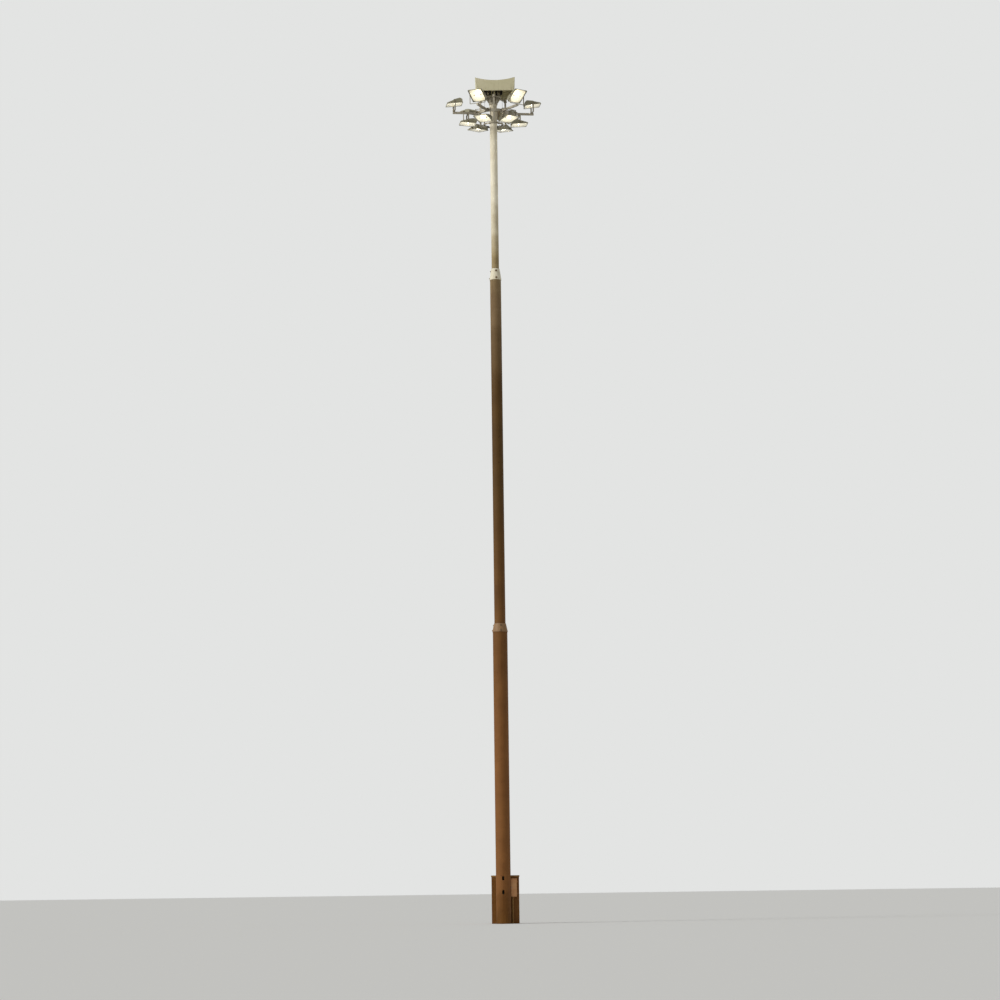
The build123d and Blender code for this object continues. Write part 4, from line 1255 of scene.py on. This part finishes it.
class MAST_OT_crown_fittings(Operator):
    """Makes the bolts of the crown's gussets and stirrups, and the screws of its junction box."""

    bl_idname = "mast.crown"
    bl_label = "Crown fittings"

    def execute(self, context):
        flats = context.scene.mast_fasteners.frame_flats
        pieces = [self.gussets(flats), self.seats(flats), self.lid()]
        new_piece("crown_bolts", joined("crown_bolts", pieces), "crown")
        return {"FINISHED"}

    def gussets(self, flats):
        """Bolts above and below, on both sides of each arm where it meets the ring."""
        low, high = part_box("crown_frame")
        middle = (low.z + high.z) / 2
        spots = []
        for angle in ARM_ANGLES:
            out, side = out_and_side(angle)
            for across in (0.055, -0.055):
                for way in (-1, 1):
                    place = out * (RING_OUT + 0.03) + side * across + up(middle + way * ARM_HALF)
                    spots.append((place, up(way)))
        return grow_bolts("crown_bolts", spots, flats * 0.8, flats * 0.5, flats * 1.15, 0.003)

    def seats(self, flats):
        """Two bolts in the foot of each stirrup, with low heads, because the floodlights swing past them."""
        spots = []
        for _, way, pivot, angle, _ in floodlights():
            _, side = out_and_side(angle)
            seat = pivot - up(way * (STIRRUP_H - STIRRUP_T))
            for across in (-0.018, 0.018):
                spots.append((seat + side * across, up(way)))
        return grow_bolts("stirrup_bolts", spots, flats * 0.8, flats * 0.26, flats * 1.05, 0.002)

    def lid(self):
        """Four screws at the corners of the junction box's lid."""
        low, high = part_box("junction_box")
        centre = (low + high) / 2
        out, side = out_and_side(math.degrees(math.atan2(centre.y, centre.x)))
        spots = []
        for across in (-0.043, 0.043):
            for rise in (-0.12, 0.12):
                spots.append((out * JUNCTION_FRONT + side * across + up(centre.z + rise), out))
        return grow_rivets("junction_screws", spots, 0.010, 0.004, "steel")


class MAST_OT_rope_falls(Operator):
    """Makes the laid ropes that fall from the pulleys to the crown, with their sockets."""

    bl_idname = "mast.ropes"
    bl_label = "Rope falls"

    def execute(self, context):
        sizes = context.scene.mast_fasteners
        low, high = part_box("rope_falls")
        feet = [out_and_side(angle)[0] * ROPE_FALL_R + up(low.z) for angle in ROPE_ANGLES]
        lay = {
            "Strands": sizes.rope_strands,
            "Rope": 2 * ROPE_R,
            "Lay": sizes.rope_lay,
            "Climb": high.z - low.z,
        }
        ropes = grow("laid_ropes", "ropes", [(foot, up(1.0)) for foot in feet], lay, "rope")
        sockets = Shape()
        profile = ((0.0138, 0.0), (0.0138, 0.045), (0.0125, 0.055), (0.0090, 0.080), (0.0080, 0.090))
        for foot in feet:
            sockets.lathe(profile, Matrix.Translation(foot), "iron", 16)
        falls = joined("rope_falls_laid", [ropes, sockets.done("sockets")])
        piece = new_piece("rope_falls_laid", falls, "crown")
        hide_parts("rope_falls")
        return {"FINISHED"}


class MAST_OT_floodlights(Operator):
    """Makes what each floodlight carries: reflector, lamp, frame screws, clips, gland and trunnion nuts."""

    bl_idname = "mast.floodlights"
    bl_label = "Floodlights"

    def execute(self, context):
        for name, _, pivot, angle, tilt in floodlights():
            heading = Matrix.Rotation(math.radians(angle), 4, "Z")
            nod = Matrix.Rotation(math.radians(-tilt), 4, "Y")
            place = Matrix.Translation(pivot) @ heading @ nod
            new_piece(f"lamp_{name}", self.lamp(place), f"floodlight_{name}")
            new_piece(f"trim_{name}", self.trim(place), f"floodlight_{name}")
        return {"FINISHED"}

    def lamp(self, place):
        """The lamp and its two holders in the reflector, which fills its whole opening. How near each vertex
        is to the lamp tells the finish how much it glows."""
        shape = Shape()
        shape.place = place
        self.bowl(shape)
        middle = Vector((LAMP_X, 0, -0.006))
        tube = [(0.004, -0.10), (0.012, -0.092), (0.016, -0.075)]
        tube += [(0.016, 0.075), (0.012, 0.092), (0.004, 0.10)]
        across = Matrix.Translation(middle) @ QUARTER_ABOUT_X
        shape.lathe(tube, across, "lamp", 18)
        for way in (-1, 1):
            holder = looking((0, way, 0), (middle.x, way * 0.095, middle.z))
            shape.lathe([(0.006, 0.0), (0.020, 0.002), (0.022, 0.03), (0.018, 0.055)], holder, "plastic", 18)
        mesh = shape.done("lamp")
        centre = place @ Vector((LAMP_X, 0, 0))
        nearness = mesh.attributes.new("nearness", "FLOAT", "POINT")
        for vertex, item in zip(mesh.vertices, nearness.data):
            item.value = 1 - min(1.0, (vertex.co - centre).length / FLOOD_HALF_L)
        return mesh

    def bowl(self, shape):
        """The reflector, oblong with rounded corners at its rim, rounder and further back at its top."""
        half_x = FLOOD_HALF_L - 0.018
        half_y = FLOOD_HALF_W - 0.040
        rim = FLOOD_FOOT + 0.0105
        depth = 0.088
        sides = 40
        rings = []
        for share in (1.0, 0.94, 0.86, 0.76, 0.64, 0.5, 0.34, 0.16, 0.03):
            power = 2 / (6 - 3.6 * (1 - share))
            rise = depth * (1 - share**3)
            ring = []
            for i in range(sides):
                angle = math.tau * i / sides
                cos, sin = math.cos(angle), math.sin(angle)
                x = math.copysign(abs(cos) ** power, cos) * half_x * share
                y = math.copysign(abs(sin) ** power, sin) * half_y * share
                ring.append((x + LAMP_X * (1 - share), y, rim + rise))
            rings.append(ring)
        shape.loft(rings, "bowl", foot=False)

    def trim(self, place):
        """The small parts on the outside of the housing."""
        shape = Shape()
        shape.place = place
        self.clips(shape)
        self.gland(shape)
        return joined("trim", [self.screws(place), self.nuts(place), shape.done("clips")])

    def screws(self, place):
        """Screws in the face of the frame: four along each side and one at each end."""
        down = place.to_3x3() @ up(-1.0)
        end = FLOOD_HALF_L - 0.013
        inset = 0.0065
        spots = []
        for x in (-end, -end / 3, end / 3, end):
            for way in (-1, 1):
                spots.append((place @ Vector((x, way * (FLOOD_HALF_W - inset), FLOOD_FOOT)), down))
        for way in (-1, 1):
            spots.append((place @ Vector((way * (FLOOD_HALF_L - inset), 0, FLOOD_FOOT)), down))
        return grow_rivets("frame_screws", spots, 0.010, 0.003, "steel")

    def nuts(self, place):
        """A nut on each trunnion, clear of the stirrup by a hair."""
        reach = LEG_IN + STIRRUP_T + 0.0005
        spots = []
        for way in (-1, 1):
            spots.append((place @ Vector((0, way * reach, 0)), place.to_3x3() @ Vector((0, way, 0))))
        return grow_bolts("trunnion_nuts", spots, 0.030, 0.011, 0.040, 0.0025)

    def clips(self, shape):
        """Bent strips that clamp the frame to the housing, two on each side."""
        rim = FLOOD_HALF_W
        body = FLOOD_HALF_W - 0.030
        outline = (
            (rim + 0.0005, -0.058),
            (rim + 0.0035, -0.058),
            (rim + 0.0035, -0.030),
            (body + 0.0040, -0.016),
            (body + 0.0040, 0.002),
            (body - 0.0005, 0.002),
            (body - 0.0005, -0.020),
            (rim + 0.0005, -0.034),
        )
        for x in (-0.17, 0.17):
            clip = Matrix.Translation((x, 0, 0)) @ Matrix.Rotation(math.radians(90), 4, "Z")
            clip = clip @ QUARTER_ABOUT_X
            for way in (-1, 1):
                shape.bar([(way * across, rise) for across, rise in outline], 0.034, clip, "stirrup")

    def gland(self, shape):
        """The cable gland, short because its end swings past the strip of the stirrup."""
        seat = looking((-1, 0, 0), (-FLOOD_HALF_L + 0.0085, 0.10, 0.012))
        profile = [(0.017, 0.0), (0.017, 0.007), (0.0155, 0.0075)]
        profile += [(0.0155, 0.016), (0.011, 0.023), (0.006, 0.024)]
        shape.lathe(profile, seat, "black", 6, smooth=False)


class MAST_OT_cabinet_fittings(Operator):
    """Makes the screws of the cabinet's front, its cap and its rear cover."""

    bl_idname = "mast.cabinet"
    bl_label = "Cabinet fittings"

    def execute(self, context):
        head = context.scene.mast_fasteners.screw_head
        low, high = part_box("winch_cabinet")
        cap_low, cap_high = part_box("cabinet_cap")
        cover_low, cover_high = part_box("cabinet_cover")
        edge = 0.06
        row = cap_low.z + 0.03
        spots = []
        for z in spread(0.10, high.z - 0.20, 9):
            for x in (low.x + 0.020, high.x - 0.020):
                spots.append(((x, low.y, z), (0, -1, 0)))
            for x in (cover_low.x + 0.022, cover_high.x - 0.022):
                spots.append(((x, cover_high.y, z), (0, 1, 0)))
        for x in spread(cap_low.x + edge, cap_high.x - cap_low.x - 2 * edge, 6):
            spots.append(((x, cap_low.y, row), (0, -1, 0)))
            spots.append(((x, cap_high.y, row), (0, 1, 0)))
        for y in spread(cap_low.y + edge, cap_high.y - cap_low.y - 2 * edge, 3):
            spots.append(((cap_low.x, y, row), (-1, 0, 0)))
            spots.append(((cap_high.x, y, row), (1, 0, 0)))
        screws = grow_rivets("cabinet_screws", spots, head, head * 0.3, "bolts")
        new_piece("cabinet_screws", screws, "mast")
        return {"FINISHED"}


class MAST_OT_switch_box_fittings(Operator):
    """Makes the lock and the seal of the switch box's door, the switchgear inside and the conduit's nut."""

    bl_idname = "mast.switch_box"
    bl_label = "Switch box fittings"

    def execute(self, context):
        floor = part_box("switch_box")[0].z
        low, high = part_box("switch_box_door")
        new_piece("switchgear", self.gear(floor), "mast")
        new_piece("conduit_nut", self.nut(floor), "mast")
        new_piece("door_lock", self.lock(low, high), "switch_door")
        new_piece("door_seal", self.seal(low, high), "switch_door")
        return {"FINISHED"}

    def block(self, shape, size, centre, finish):
        """A box-shaped piece, its size and centre given as width, depth and height."""
        wide, deep, tall = (value / 2 for value in size)
        outline = [(-wide, -tall), (wide, -tall), (wide, tall), (-wide, tall)]
        shape.bar(outline, 2 * deep, looking((0, -1, 0), centre), finish)

    def gear(self, floor):
        """Mounting plate, top-hat rails, breakers, main switch, terminals and the conduit's bushing."""
        shape = Shape()
        plate_front = BOX_BACK - 0.008
        rail_front = plate_front - 0.0074
        upper_rail = floor + 0.340
        lower_rail = floor + 0.160
        self.block(shape, (0.180, 0.0082, 0.580), (BOX_MIDDLE, BOX_BACK - 0.0039, floor + 0.330), "zinc")
        for z, length in ((upper_rail, 0.150), (lower_rail, 0.130)):
            self.block(shape, (length, 0.0075, 0.025), (BOX_MIDDLE, plate_front - 0.0037, z), "steel")
            for edge in (-0.015, 0.015):
                spot = (BOX_MIDDLE, plate_front - 0.0070, z + edge)
                self.block(shape, (length, 0.0010, 0.0052), spot, "steel")
        for number in range(6):
            spot = (BOX_MIDDLE + (number - 2.5) * 0.018, rail_front, upper_rail)
            self.breaker(shape, looking((1, 0, 0), spot))
        for number in range(12):
            spot = (BOX_MIDDLE + (number - 5.5) * 0.008, rail_front - 0.0225, lower_rail)
            self.block(shape, (0.0072, 0.045, 0.042), spot, "pale" if number % 4 else "black")
        self.main_switch(shape, plate_front, floor + 0.500)
        bushing = [(0.030, -0.0005), (0.030, 0.010), (0.022, 0.012), (0.022, 0.022), (0.014, 0.028)]
        inside = Matrix.Translation((CONDUIT_X, CONDUIT_Y, floor + BOX_SHEET))
        shape.lathe(bushing, inside, "black", 6, smooth=False)
        return shape.done("switchgear")

    def breaker(self, shape, place):
        """A breaker, stepped at both ends as its terminals are, with its toggle."""
        case = [(0, -0.0425), (0, 0.0425), (-0.044, 0.0425), (-0.044, 0.0225)]
        case += [(-0.060, 0.0225), (-0.060, -0.0225), (-0.044, -0.0225), (-0.044, -0.0425)]
        shape.bar(case, 0.0174, place, "pale")
        toggle = [(-0.059, -0.005), (-0.059, 0.007), (-0.070, 0.011), (-0.071, 0.005)]
        shape.bar(toggle, 0.009, place, "black")

    def main_switch(self, shape, back, middle):
        """The main switch with its knob and grip."""
        self.block(shape, (0.076, 0.060, 0.090), (BOX_MIDDLE, back - 0.0298, middle), "black")
        knob = looking((0, -1, 0), (BOX_MIDDLE, back - 0.0595, middle))
        shape.lathe([(0.026, 0.0), (0.026, 0.008), (0.024, 0.010)], knob, "black", 28)
        grip = [(-0.006, -0.022), (0.006, -0.022), (0.005, 0.022), (-0.005, 0.022)]
        shape.bar(grip, 0.020, knob @ Matrix.Translation((0, 0, 0.0195)), "pale")

    def nut(self, floor):
        """The nut that holds the conduit under the box, clear of both by half a millimetre."""
        shape = Shape()
        clear = 0.0005
        bore = CONDUIT_R + clear
        profile = [(bore, clear), (bore + 0.009, clear), (bore + 0.009, 0.012), (bore + 0.004, 0.016)]
        profile += [(bore, 0.017), (bore, clear)]
        seat = looking((0, 0, -1), (CONDUIT_X, CONDUIT_Y, floor))
        shape.lathe(profile, seat, "bolts", 20, smooth=False, capped=False)
        return shape.done("conduit_nut")

    def lock(self, low, high):
        """The barrel and its wing on the outside of the door, and the nut behind it."""
        shape = Shape()
        seat = looking((0, -1, 0), (low.x + 0.028, low.y, (low.z + high.z) / 2))
        barrel = [(0.016, -0.002), (0.016, 0.003), (0.0135, 0.005), (0.0125, 0.012), (0.010, 0.013)]
        shape.lathe(barrel, seat, "steel", 24)
        wing = [(-0.006, -0.016), (0.006, -0.016), (0.0045, 0.016), (-0.0045, 0.016)]
        shape.bar(wing, 0.006, seat @ Matrix.Translation((0, 0, 0.0155)), "steel")
        shape.lathe([(0.011, -0.012), (0.011, -0.0028)], seat, "bolts", 6, smooth=False)
        return shape.done("door_lock")

    def seal(self, low, high):
        """A rubber strip round the inside of the door, let into its folded edge by a hair."""
        shape = Shape()
        right = 2 * BOX_MIDDLE - low.x
        outer = BOX_SHEET - 0.0003
        inner = outer + 0.010
        rings = []
        for inset, depth in ((outer, 0.0120), (outer, 0.0190), (inner, 0.0190), (inner, 0.0120)):
            left_x, right_x = low.x + inset, right - inset
            foot, top = low.z + inset, high.z - inset
            corners = ((left_x, foot), (right_x, foot), (right_x, top), (left_x, top))
            rings.append([(x, low.y + depth, z) for x, z in corners])
        shape.loft(rings + rings[:1], "rubber", smooth=False, foot=False, top=False)
        return shape.done("door_seal")


class MAST_OT_stage(Operator):
    """Makes the plain floor, the soft light and the camera."""

    bl_idname = "mast.stage"
    bl_label = "Stage"

    def execute(self, context):
        stage = context.scene.mast_stage
        self.floor(stage)
        self.sky(context.scene, stage)
        self.lamp("key_sun", stage.key_light, (-70.0, -34.0, 46.0), 24.0)
        self.lamp("fill_sun", stage.fill_light, (60.0, -30.0, 26.0), 40.0)
        self.camera(context.scene)
        context.scene.view_settings.view_transform = "Standard"
        return {"FINISHED"}

    def floor(self, stage):
        """A plain floor that ends beyond the horizon, a little below the foot plate."""
        mesh = bpy.data.meshes.new("floor")
        reach = 600.0
        corners = [(x * reach, y * reach, -0.004) for x, y in ((-1, -1), (1, -1), (1, 1), (-1, 1))]
        mesh.from_pydata(corners, [], [(0, 1, 2, 3)])
        floor = bpy.data.objects.new("floor", mesh)
        bpy.context.scene.collection.objects.link(floor)
        finish, _, shader, _ = start_finish("pale_matt_floor", stage.floor_colour, 0.0, 0.9)
        shader.inputs["Specular IOR Level"].default_value = 0.0
        mesh.materials.append(finish)

    def sky(self, scene, stage):
        """Even light from all round, which the camera, gloss and glass see in the floor's colour."""
        world = bpy.data.worlds.new("pale_studio")
        scene.world = world
        world.use_nodes = True
        tree = world.node_tree
        tree.nodes.clear()
        light = add_node(
            tree, "ShaderNodeBackground", {"Color": linear("#FBFAF7"), "Strength": stage.sky_light}
        )
        seen = add_node(tree, "ShaderNodeBackground", {"Color": stage.floor_colour, "Strength": 1.0})
        path = add_node(tree, "ShaderNodeLightPath")
        first = add_node(
            tree,
            "ShaderNodeMath",
            {"operation": "MAXIMUM"},
            {0: path.outputs["Is Camera Ray"], 1: path.outputs["Is Glossy Ray"]},
        )
        second = add_node(
            tree,
            "ShaderNodeMath",
            {"operation": "MAXIMUM"},
            {0: first, 1: path.outputs["Is Transmission Ray"]},
        )
        both = add_node(tree, "ShaderNodeMixShader", {}, {0: second, 1: light, 2: seen})
        add_node(tree, "ShaderNodeOutputWorld", {}, {"Surface": both})

    def lamp(self, name, strength, place, width):
        """A soft sun that shines from a place to the middle, its disc so many degrees wide."""
        data = bpy.data.lights.new(name, "SUN")
        data.energy = strength
        data.angle = math.radians(width)
        data.color = (1.0, 0.985, 0.96)
        lamp = bpy.data.objects.new(name, data)
        lamp.matrix_world = looking(Vector(place), place)
        bpy.context.scene.collection.objects.link(lamp)

    def camera(self, scene):
        """The camera of the photo, at eye level, turned by the pitch, yaw and roll that fit it."""
        data = bpy.data.cameras.new("eye_level_camera")
        data.sensor_width = 36.0
        data.lens = 104.4
        data.clip_end = 2000.0
        camera = bpy.data.objects.new("eye_level_camera", data)
        level = 90.0
        pitch = Matrix.Rotation(math.radians(level + 7.6349), 4, "X")
        yaw = Matrix.Rotation(math.radians(-0.0326), 4, "Z")
        roll = Matrix.Rotation(math.radians(-0.7531), 4, "Z")
        camera.matrix_world = Matrix.Translation((0.0, -105.675, 1.25)) @ yaw @ pitch @ roll
        scene.collection.objects.link(camera)
        scene.camera = camera


class MAST_PT_panel(Panel):
    """Lists the steps that dress the tower."""

    bl_idname = "MAST_PT_panel"
    bl_label = "Mast"
    bl_space_type = "VIEW_3D"
    bl_region_type = "UI"
    bl_category = "Mast"

    def draw(self, context):
        layout = self.layout
        for group in (
            context.scene.mast_paint,
            context.scene.mast_fasteners,
            context.scene.mast_stage,
        ):
            box = layout.box()
            for key in group.bl_rna.properties.keys():
                if key not in ("rna_type", "name"):
                    box.prop(group, key)
        for step in STEPS:
            layout.operator(step.bl_idname)


STEPS = (
    MAST_OT_finishes,
    MAST_OT_mast_joints,
    MAST_OT_head_fittings,
    MAST_OT_hood_trim,
    MAST_OT_crown_fittings,
    MAST_OT_rope_falls,
    MAST_OT_floodlights,
    MAST_OT_cabinet_fittings,
    MAST_OT_switch_box_fittings,
    MAST_OT_stage,
)
CLASSES = (MastPaint, MastFasteners, MastStage, *STEPS, MAST_PT_panel)


def register():
    """Registers the classes and puts their settings on the scene."""
    for cls in CLASSES:
        bpy.utils.register_class(cls)
    bpy.types.Scene.mast_paint = PointerProperty(type=MastPaint)
    bpy.types.Scene.mast_fasteners = PointerProperty(type=MastFasteners)
    bpy.types.Scene.mast_stage = PointerProperty(type=MastStage)


def unregister():
    """Takes the settings off the scene and the classes out again."""
    del bpy.types.Scene.mast_stage
    del bpy.types.Scene.mast_fasteners
    del bpy.types.Scene.mast_paint
    for cls in reversed(CLASSES):
        bpy.utils.unregister_class(cls)


def main():
    """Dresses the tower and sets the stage."""
    register()
    bpy.ops.mast.finishes()
    bpy.ops.mast.joints()
    bpy.ops.mast.head()
    bpy.ops.mast.hood()
    bpy.ops.mast.crown()
    bpy.ops.mast.ropes()
    bpy.ops.mast.floodlights()
    bpy.ops.mast.cabinet()
    bpy.ops.mast.switch_box()
    bpy.ops.mast.stage()


if __name__ == "__main__":
    main()
